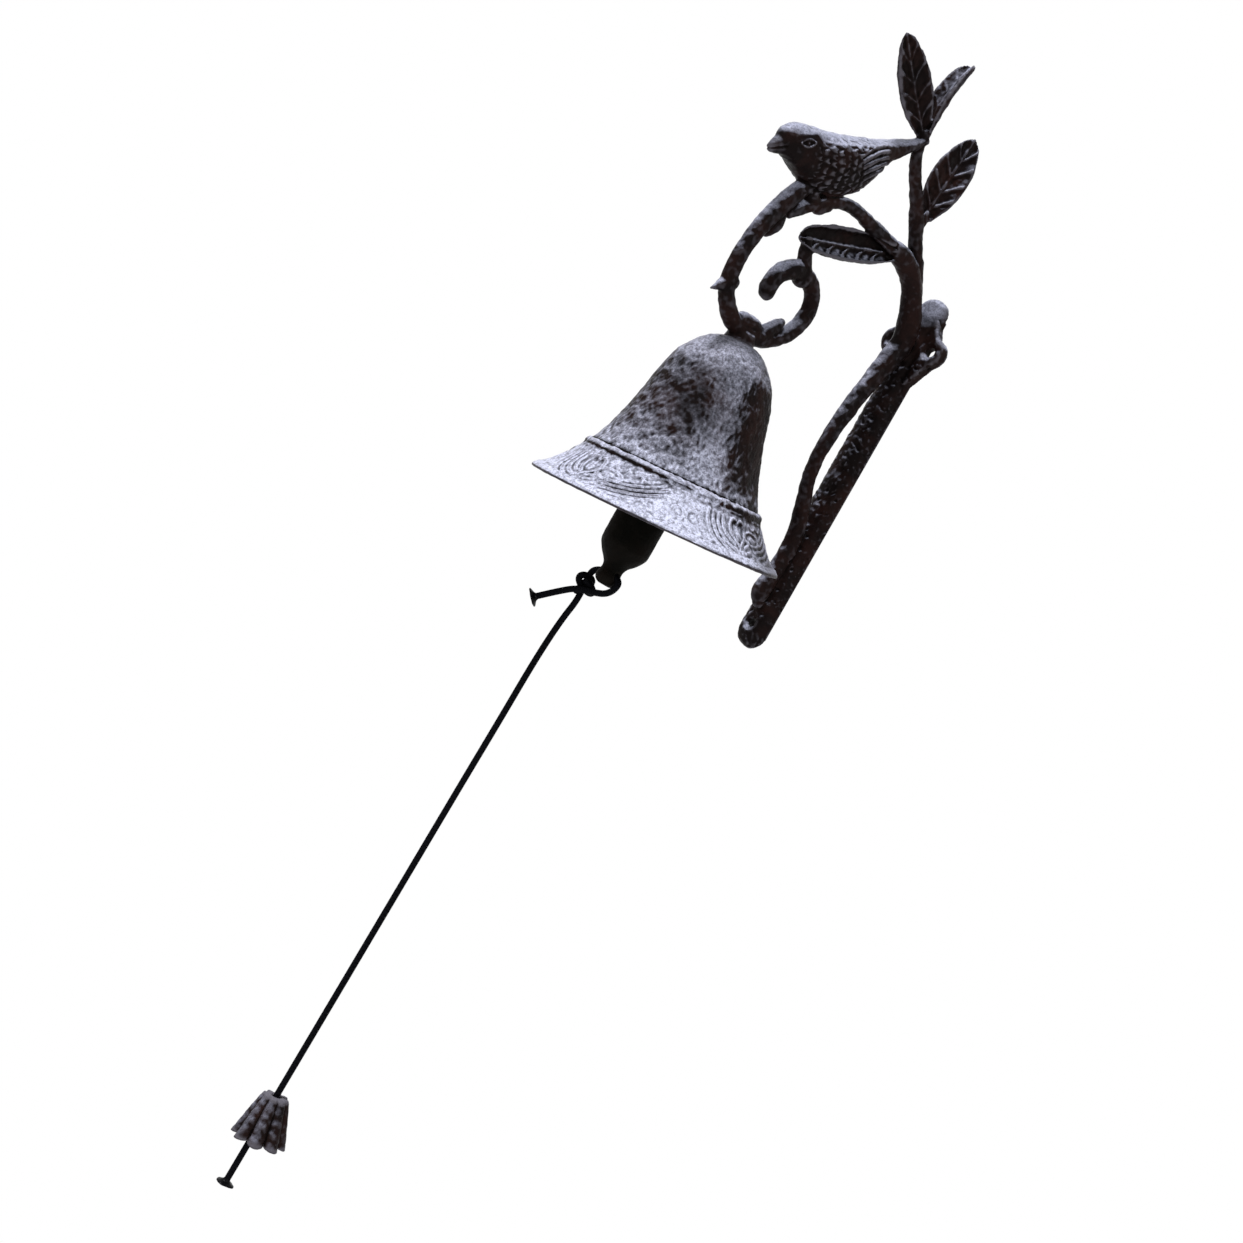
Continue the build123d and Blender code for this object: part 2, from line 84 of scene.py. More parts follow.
OUTWARD = (0.0, -1.0, 0.0)


class Body(Enum):
    """The moving bodies of the doorbell."""

    FRAME = "frame"
    CLAPPER = "clapper"
    CORD = "cord"


class Slot(Enum):
    """The material slots of the record."""

    BRACKET = "bracket_iron"
    BELL = "bell_iron"
    CLAPPER = "clapper_iron"
    PULL = "pull_iron"
    CORD = "black_cord"


class BellZone(Enum):
    """The stretches of the bell's profile, each with a surface of its own."""

    BODY = "body"
    RIDGE = "ridge"
    BAND = "band"
    LIP = "lip"
    INSIDE = "inside"
    HOLE = "hole"


def place(depth: float, height: float, side: float = 0.0) -> np.ndarray:
    """Return the point at a depth from the wall, a height, and an offset to the right."""
    return np.array((side, -depth, height))


def unit(vector: np.ndarray) -> np.ndarray:
    """Return the vector at length one."""
    return vector / np.linalg.norm(vector)


def bell_curve(distance: np.ndarray, width: float) -> np.ndarray:
    """Return a smooth hump that is 1 at zero distance and small beyond the width."""
    return np.exp(-((distance / width) ** 2))


def window(values: np.ndarray, low: float, high: float, soft: float) -> np.ndarray:
    """Return 1 between low and high, easing to 0 over the soft distance outside them.

    Args:
        values: The numbers to weigh.
        low: The lowest number that counts in full.
        high: The highest number that counts in full.
        soft: How far beyond either the result takes to reach 0.

    Returns:
        One share from 0 to 1 for each number.
    """
    rise = np.clip((values - low) / soft + 1.0, 0.0, 1.0)
    fall = np.clip((high - values) / soft + 1.0, 0.0, 1.0)
    return rise * rise * (3 - 2 * rise) * fall * fall * (3 - 2 * fall)


def lumps(points: np.ndarray, size: float, seed: float) -> np.ndarray:
    """Return smooth random heights from -1 to 1.

    Args:
        points: Places in millimetres, one to a row.
        size: How far apart the lumps are.
        seed: A number that picks one pattern.

    Returns:
        One height for each point.
    """
    turned = points @ NOISE_TURN / size + seed * SEED_STEP
    cell = np.floor(turned)
    part = turned - cell
    ease = part**3 * (part * (part * 6 - 15) + 10)
    total = np.zeros(len(points))
    for corner in itertools.product((0.0, 1.0), repeat=3):
        mixed = np.sin((cell + corner) @ NOISE_MIX) * NOISE_SPREAD
        slope = 2 * (mixed - np.floor(mixed)) - 1
        weight = np.prod(np.where(corner, ease, 1 - ease), axis=1)
        total += weight * np.einsum("ij,ij->i", slope, part - corner)
    return np.clip(NOISE_GAIN * total, -1.0, 1.0)


def cast_lumps(points: np.ndarray, layers: Rows) -> np.ndarray:
    """Return the summed height of layers of lumps.

    Args:
        points: Places in millimetres, one to a row.
        layers: The height, size and seed of each layer.

    Returns:
        One height for each point.
    """
    height = np.zeros(len(points))
    for share, size, seed in layers:
        height += share * lumps(points, size, seed)
    return height


def smooth_chain(stations: Rows, spacing: float) -> np.ndarray:
    """Return a smooth chain through rows of numbers.

    Args:
        stations: Rows whose first two columns are a depth and a height.
        spacing: The distance between neighbours in the chain.

    Returns:
        Rows with the same columns, about one spacing apart.
    """
    rows = np.asarray(stations, float)
    padded = np.vstack((2 * rows[0] - rows[1], rows, 2 * rows[-1] - rows[-2]))
    samples = []
    for index in range(1, len(padded) - 2):
        before, start, end, after = padded[index - 1 : index + 3]
        count = max(2, math.ceil(np.linalg.norm((end - start)[:2]) / spacing))
        for share in np.arange(count) / count:
            bend = 2 * before - 5 * start + 4 * end - after
            twist = -before + 3 * start - 3 * end + after
            samples.append(
                0.5 * (2 * start + (end - before) * share + bend * share**2 + twist * share**3)
            )
    samples.append(rows[-1])
    return np.array(samples)


class Shells:
    """Closed shells in millimetres, gathered to be cast as one mesh."""

    swell = 0.25
    end_angles = (80, 60, 40, 20)
    least_radius = 0.02

    def __init__(self) -> None:
        """Start with nothing gathered."""
        self.points: list[np.ndarray] = []
        self.faces: list[tuple[int, ...]] = []
        self.count = 0

    def add(self, points: np.ndarray, faces: Sequence[Sequence[int]]) -> None:
        """Add one shell by its points and its faces, with its faces turned outward.

        Args:
            points: The shell's points, one to a row.
            faces: The numbers of the points of each face.
        """
        spots = np.asarray(points, float)
        middle = spots.mean(axis=0)
        volume = 0.0
        for face in faces:
            corners = spots[list(face)] - middle
            volume += corners[0] @ np.cross(corners[1:-1], corners[2:]).sum(axis=0)
        turn = 1 if volume > 0 else -1
        self.points.append(spots)
        self.faces += [tuple(int(i) + self.count for i in face)[::turn] for face in faces]
        self.count += len(points)

    def add_rings(self, rings: Sequence[np.ndarray], closed: bool = False) -> None:
        """Skin rings of equally many points.

        Args:
            rings: The rings, in order.
            closed: Whether the last ring joins the first; if not, both ends are capped.
        """
        size = len(rings[0])
        faces: list[tuple[int, ...]] = []
        for row in range(len(rings) if closed else len(rings) - 1):
            here = row * size
            there = (row + 1) % len(rings) * size
            for step in range(size):
                ahead = (step + 1) % size
                faces.append((here + step, here + ahead, there + ahead, there + step))
        if not closed:
            faces.append(tuple(range(size - 1, -1, -1)))
            faces.append(tuple(range((len(rings) - 1) * size, len(rings) * size)))
        self.add(np.vstack(rings), faces)

    def add_rod(self, stations: Rows, spacing: float = 0.8, sides: int = 22) -> None:
        """Add a round-ended rod in the scroll plane through (depth, height, radius) rows.

        Args:
            stations: Rows of depth, height and radius.
            spacing: The distance between neighbouring rings.
            sides: How many points go round the rod.
        """
        chain = smooth_chain(stations, spacing)
        chain[:, 2] += self.swell
        centres = np.array([place(depth, height) for depth, height, _ in chain])
        headings = np.gradient(centres, axis=0)
        rounds = np.radians(self.end_angles)
        rings = []
        turn = np.linspace(0, 2 * math.pi, sides, endpoint=False)
        for index, (centre, radius) in enumerate(zip(centres, chain[:, 2])):
            heading = unit(headings[index])
            across = np.cross(heading, RIGHT)
            circle = np.outer(np.cos(turn), RIGHT) + np.outer(np.sin(turn), across)
            ring = centre + radius * circle
            if index == 0:
                for lift in rounds:
                    back = centre - heading * radius * math.sin(lift)
                    rings.append(back + radius * math.cos(lift) * circle)
            rings.append(ring)
            if index == len(centres) - 1:
                for lift in rounds[::-1]:
                    front = centre + heading * radius * math.sin(lift)
                    rings.append(front + radius * math.cos(lift) * circle)
        self.add_rings(rings)

    def add_ball(self, centre: np.ndarray, radii: Row, axes: np.ndarray | None = None) -> None:
        """Add an egg-shaped ball, with its radii along X, Y and Z or along given axes.

        Args:
            centre: The middle of the ball.
            radii: Its three radii.
            axes: The directions of the radii, one to a row; X, Y and Z if left out.
        """
        axes = np.eye(3) if axes is None else axes
        turn = np.linspace(0, 2 * math.pi, 24, endpoint=False)
        rings = []
        for lift in np.radians(np.linspace(-85, 85, 18)):
            ring = np.stack(
                (
                    radii[0] * np.cos(lift) * np.cos(turn),
                    radii[1] * np.cos(lift) * np.sin(turn),
                    np.full(len(turn), radii[2] * np.sin(lift)),
                ),
                axis=1,
            )
            rings.append(centre + ring @ axes)
        self.add_rings(rings)

    def add_turned(
        self, profile: Rows, base: np.ndarray, axis: np.ndarray, sides: int = 40
    ) -> None:
        """Add a solid turned about an axis from (radius, rise) rows.

        Args:
            profile: Rows of radius and rise along the axis.
            base: The point on the axis where the rise is 0.
            axis: The direction of the axis, of length one.
            sides: How many points go round.
        """
        across = unit(np.cross(axis, (0.3, 0.5, 0.8)))
        aside = np.cross(axis, across)
        turn = np.linspace(0, 2 * math.pi, sides, endpoint=False)
        circle = np.outer(np.cos(turn), across) + np.outer(np.sin(turn), aside)
        rings = []
        for radius, rise in profile:
            rings.append(base + axis * rise + max(radius, self.least_radius) * circle)
        self.add_rings(rings)

    def mesh(self, name: str) -> bpy.types.Mesh:
        """Return all that was gathered as one mesh, still in millimetres.

        Args:
            name: The mesh's name.

        Returns:
            The new mesh.
        """
        mesh = bpy.data.meshes.new(name)
        mesh.from_pydata(np.vstack(self.points).tolist(), [], self.faces)
        mesh.update()
        return mesh


def evaluated(mesh: bpy.types.Mesh, kind: str, **settings: object) -> bpy.types.Mesh:
    """Run one modifier on a mesh and return the result.

    Args:
        mesh: The mesh to work on; it is used up.
        kind: The modifier's type.
        settings: The modifier's values by name.

    Returns:
        The new mesh.
    """
    holder = bpy.data.objects.new("workpiece", mesh)
    bpy.context.scene.collection.objects.link(holder)
    modifier = holder.modifiers.new("work", kind)
    for key, value in settings.items():
        setattr(modifier, key, value)
    depsgraph = bpy.context.evaluated_depsgraph_get()
    result = bpy.data.meshes.new_from_object(holder.evaluated_get(depsgraph))
    bpy.data.objects.remove(holder)
    bpy.data.meshes.remove(mesh)
    return result


def carved(mesh: bpy.types.Mesh, cutters: Shells) -> bpy.types.Mesh:
    """Return the mesh with the cutters' shells taken out of it.

    Args:
        mesh: The mesh to carve; it is used up.
        cutters: The shells to take out of it.

    Returns:
        The carved mesh.
    """
    tool = bpy.data.objects.new("cutter", cutters.mesh("cutter"))
    bpy.context.scene.collection.objects.link(tool)
    result = evaluated(
        mesh, "BOOLEAN", operation="DIFFERENCE", solver="EXACT", use_self=True, object=tool
    )
    blade = tool.data
    bpy.data.objects.remove(tool)
    bpy.data.meshes.remove(blade)
    return result


class Skin:
    """The points of a mesh in millimetres, worked as arrays before it becomes a piece."""

    def __init__(self, mesh: bpy.types.Mesh) -> None:
        """Read the mesh's points and edges.

        Args:
            mesh: The mesh, in millimetres.
        """
        self.mesh = mesh
        self.points = np.empty(len(mesh.vertices) * 3)
        mesh.vertices.foreach_get("co", self.points)
        self.points = self.points.reshape(-1, 3)
        self.edges = np.empty(len(mesh.edges) * 2, dtype=np.int32)
        mesh.edges.foreach_get("vertices", self.edges)
        self.edges = self.edges.reshape(-1, 2)
        self.degree = np.bincount(self.edges.ravel(), minlength=len(self.points))
        self.degree = np.maximum(self.degree, 1)[:, None]

    def normals(self) -> np.ndarray:
        """Return the outward direction at each point.

        Returns:
            One direction of length one for each point.
        """
        self.mesh.vertices.foreach_set("co", self.points.ravel())
        self.mesh.update()
        directions = np.empty(len(self.points) * 3)
        self.mesh.vertices.foreach_get("normal", directions)
        return directions.reshape(-1, 3)

    def averaged(self, points: np.ndarray) -> np.ndarray:
        """Return the mean of each point's neighbours.

        Args:
            points: One row of numbers for each point of the mesh.

        Returns:
            The mean row for each point.
        """
        start, end = self.edges[:, 0], self.edges[:, 1]
        columns = []
        for axis in range(3):
            total = np.bincount(start, weights=points[end, axis], minlength=len(points))
            total += np.bincount(end, weights=points[start, axis], minlength=len(points))
            columns.append(total)
        return np.stack(columns, axis=1) / self.degree

    def relax(self, rounds: int, pull: float = 0.5, push: float = -0.52) -> None:
        """Ease steps and seams away without shrinking the shape.

        Args:
            rounds: How many times to ease.
            pull: The share that a point moves towards its neighbours.
            push: The share, below zero, that it then moves back.
        """
        for _ in range(rounds):
            for share in (pull, push):
                self.points += share * (self.averaged(self.points) - self.points)

    def soften(self, share: np.ndarray, rounds: int) -> None:
        """Smooth the points more where their share is larger.

        Args:
            share: How much of the easing each point takes, from 0 to 1.
            rounds: How many times to ease.
        """
        for _ in range(rounds):
            change = self.averaged(self.points) - self.points
            self.points += SMOOTHING * share[:, None] * change

    def lift(self, heights: np.ndarray) -> None:
        """Raise each point along its own outward direction."""
        self.points += self.normals() * heights[:, None]

    def relief(self, rounds: int = 10) -> np.ndarray:
        """Return how far each point stands above its wider surroundings.

        Args:
            rounds: How many times to ease before comparing.

        Returns:
            One height for each point, above 0 on ridges and below 0 in hollows.
        """
        eased = self.points.copy()
        for _ in range(rounds):
            eased += SMOOTHING * (self.averaged(eased) - eased)
        return np.einsum("ij,ij->i", self.points - eased, self.normals())

    def thinned(self, triangles: int) -> "Skin":
        """Return a skin with fewer triangles, most where the shape has detail.

        Args:
            triangles: How many may be left.

        Returns:
            The new skin, with its relief as measured before.
        """
        self.keep_relief()
        self.mesh.vertices.foreach_set("co", self.points.ravel())
        share = triangles / sum(len(face.vertices) - 2 for face in self.mesh.polygons)
        return Skin(evaluated(self.mesh, "DECIMATE", ratio=min(1.0, share)))

    def keep_relief(self) -> None:
        """Write the relief into the mesh, where the finish reads it for worn ridges, for painted
        shade in hollows and for more painted highlight on ridges.
        """
        heights = self.relief()
        worn = self.mesh.attributes.new("relief", "FLOAT", "POINT")
        worn.data.foreach_set("value", heights)

    def piece(self, name: str, finish: "CastIron", slot: Slot, body: Body) -> bpy.types.Object:
        """Make the piece: its object, finish and body.

        Args:
            name: The piece's name.
            finish: The finish that it wears.
            slot: The material slot of the record; not used.
            body: The body that it moves with.

        Returns:
            The new object.
        """
        if "relief" not in self.mesh.attributes:
            self.keep_relief()
        self.mesh.name = name
        self.mesh.vertices.foreach_set("co", (self.points * METRE).ravel())
        self.mesh.polygons.foreach_set("use_smooth", [True] * len(self.mesh.polygons))
        self.mesh.update()
        return dressed(name, self.mesh, finish.material(), body)


def dressed(
    name: str, data: bpy.types.ID, material: bpy.types.Material, body: Body
) -> bpy.types.Object:
    """Return a new object with its material, slot and body.

    Args:
        name: The piece's name.
        data: Its mesh or curve, in metres.
        material: The material that it wears.
        body: The body that it moves with.

    Returns:
        The object, linked into the scene.
    """
    piece = bpy.data.objects.new(name, data)
    bpy.context.scene.collection.objects.link(piece)
    data.materials.clear()
    data.materials.append(material)
    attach(piece, body.value)
    LOG.info("%s rides on %s", name, body.value)
    return piece


class NodeSheet:
    """A material's nodes, with short ways to add and join them."""

    def __init__(self, name: str) -> None:
        """Start an empty material of this name.

        Args:
            name: The material's name.
        """
        self.material = bpy.data.materials.new(name)
        self.material.use_nodes = True
        self.tree = self.material.node_tree
        self.tree.nodes.clear()

    def add(self, kind: str, **values: object) -> bpy.types.Node:
        """Add a node and set its sockets or settings by name.

        Args:
            kind: The node's type.
            values: The values of its inputs and settings by name.

        Returns:
            The new node.
        """
        node = self.tree.nodes.new(kind)
        for key, value in values.items():
            label = key.replace("_", " ")
            if label in node.inputs:
                node.inputs[label].default_value = value
            else:
                setattr(node, key, value)
        return node

    def join(self, source: bpy.types.NodeSocket, target: bpy.types.NodeSocket) -> None:
        """Join an output to an input."""
        self.tree.links.new(source, target)

    def blend(
        self,
        share: bpy.types.NodeSocket,
        first: bpy.types.NodeSocket | Row,
        second: bpy.types.NodeSocket | Row,
    ) -> bpy.types.NodeSocket:
        """Return two colours mixed by a share that varies over the surface.

        Args:
            share: How much of the second there is.
            first: The colour where the share is 0.
            second: The colour where the share is 1.

        Returns:
            The socket of the mixed colour.
        """
        node = self.add("ShaderNodeMix", data_type="RGBA")
        self.join(share, node.inputs["Factor"])
        for label, value in (("A", first), ("B", second)):
            sockets = [entry for entry in node.inputs if entry.name == label]
            socket = [entry for entry in sockets if entry.type == "RGBA"][0]
            if isinstance(value, tuple):
                socket.default_value = (*value, 1.0)
            else:
                self.join(value, socket)
        return [entry for entry in node.outputs if entry.type == "RGBA"][0]

    def facing(self, normal: bpy.types.NodeSocket, direction: Row) -> bpy.types.NodeSocket:
        """Return how nearly the surface faces a direction of the object.

        Args:
            normal: The surface direction.
            direction: The direction to compare it with.

        Returns:
            The socket of a number that is 1 where it faces straight that way.
        """
        node = self.add("ShaderNodeVectorMath", operation="DOT_PRODUCT")
        self.join(normal, node.inputs[0])
        node.inputs[1].default_value = direction
        return node.outputs["Value"]

    def distance(self, spot: bpy.types.NodeSocket, centre: Row) -> bpy.types.NodeSocket:
        """Return how far the surface lies from a point.

        Args:
            spot: The place on the surface.
            centre: The point to measure from.

        Returns:
            The socket of the distance.
        """
        node = self.add("ShaderNodeVectorMath", operation="DISTANCE")
        self.join(spot, node.inputs[0])
        node.inputs[1].default_value = centre
        return node.outputs["Value"]

    def larger(
        self, first: bpy.types.NodeSocket, second: bpy.types.NodeSocket
    ) -> bpy.types.NodeSocket:
        """Return the larger of two values.

        Args:
            first: One socket.
            second: The other socket.

        Returns:
            The socket of the larger number.
        """
        node = self.add("ShaderNodeMath", operation="MAXIMUM")
        self.join(first, node.inputs[0])
        self.join(second, node.inputs[1])
        return node.outputs["Value"]

    def product(self, *sources: bpy.types.NodeSocket) -> bpy.types.NodeSocket:
        """Return the product of several values, held between 0 and 1.

        Args:
            sources: The sockets to multiply.

        Returns:
            The socket of the product.
        """
        total = sources[0]
        for source in sources[1:]:
            node = self.add("ShaderNodeMath", operation="MULTIPLY", use_clamp=True)
            self.join(total, node.inputs[0])
            self.join(source, node.inputs[1])
            total = node.outputs["Value"]
        return total

    def finish(
        self,
        base: bpy.types.NodeSocket,
        rough: bpy.types.NodeSocket,
        normal: bpy.types.NodeSocket,
        gloss: float,
    ) -> None:
        """Join colour, roughness and normal to a shader of this gloss, and that to the output.

        Args:
            base: The colour.
            rough: The roughness.
            normal: The surface direction.
            gloss: The specular level.
        """
        shader = self.add("ShaderNodeBsdfPrincipled")
        shader.inputs["Specular IOR Level"].default_value = gloss
        self.join(base, shader.inputs["Base Color"])
        self.join(rough, shader.inputs["Roughness"])
        self.join(normal, shader.inputs["Normal"])
        output = self.add("ShaderNodeOutputMaterial")
        self.join(shader.outputs["BSDF"], output.inputs["Surface"])

    def span(self, source: bpy.types.NodeSocket, row: Row) -> bpy.types.NodeSocket:
        """Return a value moved from (low, high) to (new low, new high).

        Args:
            source: The socket of the value.
            row: The low, high, new low and new high.

        Returns:
            The socket of the moved value, held within the new range.
        """
        node = self.add("ShaderNodeMapRange")
        for label, value in zip(("From Min", "From Max", "To Min", "To Max"), row):
            node.inputs[label].default_value = value
        self.join(source, node.inputs["Value"])
        return node.outputs["Result"]


@dataclass(frozen=True)
class CastIron:
    """Dark waxed cast iron, brown in its hollows from painted shade, with a pale painted sky
    highlight where it faces the sky.
    """

    name: str
    face: Row = (0.0085, 0.006, 0.0056)
    warm: Row = (0.022, 0.0105, 0.0085)
    # Painted shade: the near-black brown that darkens the hollows.
    hollow: Row = (0.004, 0.0024, 0.002)
    worn: Row = (0.12, 0.11, 0.12)
    # The pale colour of the painted sky highlight, and its largest share.
    sky_highlight: Row = (0.5, 0.51, 0.61)
    sky_highlight_share: float = 1.0
    sky: Row = (-0.12, -0.3, 0.94)
    sky_span: Row = (0.32, 0.76)
    # Direction, share and span of the painted highlight stripe from the side lamp.
    side_highlight: Row = (0.9, -0.37, 0.25)
    side_highlight_share: float = 0.0
    side_highlight_span: Row = (0.92, 0.995)
    # Spheres that hold back the painted highlight, and pale spheres that add more of it.
    highlight_gaps: Rows = ()
    pale: Rows = ()
    # How much of the painted highlight falls on ridges and on hollows, by the relief.
    ridge_gain: Row = (0.45, 1.25)
    mottle: Row = (0.8, 1.1)
    gloss_level: float = 0.02
    rough: Row = (0.26, 0.4)
    patch: float = 70.0
    pebble: float = 420.0
    grain: float = 1500.0
    depth: float = 0.00035
    warm_from: Row = (0.42, 0.66)
    ridge_gain_from: Row = (-0.12, 0.1)
    mottle_from: Row = (0.38, 0.6)
    patch_span: Row = (0.3, 0.55, 0.75, 1.05)
    speckle_span: Row = (0.36, 0.58, 0.55, 1.15)
    worn_span: Row = (0.07, 0.32, 0.0, 0.85)
    hollow_shade_span: Row = (-0.02, -0.2, 0.0, 1.0)
    rough_from: Row = (0.3, 0.7)
    coarse_strength: float = 0.8
    fine_strength: float = 0.55
    highlight_gap_core: float = 0.25
    pale_core: float = 0.5

    def material(self) -> bpy.types.Material:
        """Return the material, made once.

        Returns:
            The finished material.
        """
        if self.name in bpy.data.materials:
            return bpy.data.materials[self.name]
        sheet = NodeSheet(self.name)
        places = sheet.add("ShaderNodeTexCoord")
        spot = places.outputs["Object"]
        patches = sheet.add("ShaderNodeTexNoise", Scale=self.patch, Detail=5.0, Roughness=0.6)
        pebbles = sheet.add("ShaderNodeTexNoise", Scale=self.pebble, Detail=4.0, Roughness=0.55)
        grains = sheet.add("ShaderNodeTexNoise", Scale=self.grain, Detail=3.0, Roughness=0.6)
        for texture in (patches, pebbles, grains):
            sheet.join(spot, texture.inputs["Vector"])
        relief = sheet.add("ShaderNodeAttribute", attribute_name="relief").outputs["Fac"]
        tint = sheet.span(patches.outputs["Fac"], (*self.warm_from, 0.0, 1.0))
        base = sheet.blend(tint, self.face, self.warm)
        # Painted highlight: where the surface faces the sky direction, its colour is lightened
        # towards a pale lavender that stands in for light from above.
        skyward = self.skyward(sheet, places.outputs["Normal"], spot)
        # Ridges take more of the painted highlight, and hollows less.
        ridge_share = sheet.span(relief, (*self.ridge_gain_from, *self.ridge_gain))
        patchy = sheet.span(patches.outputs["Fac"], self.patch_span)
        speckle = sheet.span(grains.outputs["Fac"], self.speckle_span)
        mottled = sheet.span(pebbles.outputs["Fac"], (*self.mottle_from, *self.mottle))
        amount = sheet.product(skyward, ridge_share, patchy, speckle, mottled)
        # Here the painted sky highlight is mixed into the colour.
        base = sheet.blend(amount, base, self.sky_highlight)
        base = sheet.blend(sheet.span(relief, self.worn_span), base, self.worn)
        # Painted shade: the hollows, by the relief, are darkened towards a near-black brown.
        base = sheet.blend(sheet.span(relief, self.hollow_shade_span), base, self.hollow)
        rough = sheet.span(pebbles.outputs["Fac"], (*self.rough_from, *self.rough))
        coarse = sheet.add("ShaderNodeBump", Strength=self.coarse_strength, Distance=self.depth)
        sheet.join(pebbles.outputs["Fac"], coarse.inputs["Height"])
        fine = sheet.add("ShaderNodeBump", Strength=self.fine_strength, Distance=self.depth / 3)
        sheet.join(grains.outputs["Fac"], fine.inputs["Height"])
        sheet.join(coarse.outputs["Normal"], fine.inputs["Normal"])
        sheet.finish(base, rough, fine.outputs["Normal"], self.gloss_level)
        return sheet.material

    def skyward(
        self, sheet: NodeSheet, normal: bpy.types.NodeSocket, spot: bpy.types.NodeSocket
    ) -> bpy.types.NodeSocket:
        """Return the share of painted sky highlight at each place, before the relief and the
        grain thin it.

        Args:
            sheet: The sheet to add the nodes to.
            normal: The surface direction.
            spot: The place on the surface.

        Returns:
            The socket of the share of bloom.
        """
        amount = sheet.facing(normal, self.sky)
        amount = sheet.span(amount, (*self.sky_span, 0.0, self.sky_highlight_share))
        # Painted highlight of the side lamp: a lit stripe where the surface faces its direction.
        if self.side_highlight_share:
            side_highlight = sheet.facing(normal, self.side_highlight)
            side_highlight = sheet.span(side_highlight, (*self.side_highlight_span, 0.0, self.side_highlight_share))
            amount = sheet.larger(amount, side_highlight)
        # Within each of these spheres the painted highlight is held back, so the darker base
        # colour shows.
        for x, y, z, reach, least in self.highlight_gaps:
            away = sheet.distance(spot, (x, y, z))
            clear = sheet.span(away, (self.highlight_gap_core * reach, reach, least, 1.0))
            amount = sheet.product(amount, clear)
        # Within each pale sphere more painted highlight is added, most near its middle.
        for x, y, z, reach, most in self.pale:
            away = sheet.distance(spot, (x, y, z))
            near = sheet.span(away, (self.pale_core * reach, reach, most, 0.0))
            amount = sheet.larger(amount, near)
        return amount


@dataclass(frozen=True)
class BraidedCord:
    """A thin black cord with a fine plaited sheath."""

    name: str
    dark: Row = (0.0015, 0.0015, 0.002)
    lit: Row = (0.005, 0.005, 0.0065)
    gloss_level: float = 0.02
    strands: float = 900.0
    lay: float = 0.9
    strength: float = 0.5
    depth: float = 0.00015
    rough: Row = (0.7, 0.55)

    def material(self) -> bpy.types.Material:
        """Return the material, made once.

        Returns:
            The finished material.
        """
        if self.name in bpy.data.materials:
            return bpy.data.materials[self.name]
        sheet = NodeSheet(self.name)
        spot = sheet.add("ShaderNodeTexCoord").outputs["Object"]
        heights = []
        for tilt in (self.lay, -self.lay):
            turned = sheet.add("ShaderNodeMapping")
            turned.inputs["Rotation"].default_value = (tilt, tilt, 0.0)
            sheet.join(spot, turned.inputs["Vector"])
            wave = sheet.add("ShaderNodeTexWave", Scale=self.strands / 2, Distortion=0.6)
            wave.bands_direction = "Z"
            sheet.join(turned.outputs["Vector"], wave.inputs["Vector"])
            heights.append(wave.outputs["Fac"])
        plait = sheet.larger(heights[0], heights[1])
        base = sheet.blend(plait, self.dark, self.lit)
        bump = sheet.add("ShaderNodeBump", Strength=self.strength, Distance=self.depth)
        sheet.join(plait, bump.inputs["Height"])
        rough = sheet.span(plait, (0.0, 1.0, *self.rough))
        sheet.finish(base, rough, bump.outputs["Normal"], self.gloss_level)
        return sheet.material


BRACKET_IRON = CastIron(
    "bracket_cast_iron",
    # The painted highlight is held back round the bird's beak, and added as a pale spot on the
    # knob.
    highlight_gaps=((0.0, -0.1281, 0.0202, 0.0095, 0.25),),
    pale=((0.0, -0.007, 0.0175, 0.0095, 0.5),),
)
BELL_IRON = CastIron(
    "bell_cast_iron",
    pebble=760.0,
    depth=0.0005,
    # The bell's painted light: a brighter sky highlight, a side-lamp stripe, and spheres where
    # the highlight is held back.
    sky_highlight_share=1.4,
    sky_highlight=(0.8, 0.81, 0.95),
    side_highlight=(0.82, -0.51, 0.25),
    side_highlight_share=1.0,
    side_highlight_span=(0.94, 0.998),
    highlight_gaps=(
        (0.0155, -0.1115, -0.074, 0.022, 0.35),
        (0.0285, -0.086, -0.078, 0.02, 0.4),
        (0.0, -0.0905, -0.08, 0.05, 0.1),
        (0.0, -0.094, -0.045, 0.032, 0.5),
        (0.044, -0.066, -0.112, 0.024, 0.3),
    ),
    sky=(0.0, -0.3, 0.95),
    sky_span=(0.35, 0.8),
    ridge_gain=(0.7, 1.15),
    mottle=(0.6, 1.25),
)
CLAPPER_IRON = CastIron(
    "clapper_dark_iron",
    face=(0.0035, 0.0032, 0.0022),
    warm=(0.008, 0.0055, 0.0038),
    hollow=(0.002, 0.0018, 0.0014),
    worn=(0.012, 0.01, 0.008),
    sky_highlight_share=0.0,
    gloss_level=0.035,
    rough=(0.5, 0.7),
)
PULL_IRON = CastIron("pull_cast_iron", sky_highlight_share=0.45)
BOLT_STEEL = CastIron(
    "bolt_dull_steel",
    face=(0.06, 0.055, 0.052),
    warm=(0.07, 0.045, 0.035),
    sky_highlight_share=0.0,
    depth=0.0001,
)
BLACK_CORD = BraidedCord("black_plaited_cord")
MELTED = CastIron(
    "black_melted_cord_end",
    face=(0.003, 0.003, 0.0035),
    warm=(0.004, 0.0035, 0.0035),
    hollow=(0.0015, 0.0015, 0.0015),
    worn=(0.012, 0.012, 0.014),
    sky_highlight_share=0.0,
    gloss_level=0.05,
    depth=0.0001,
)


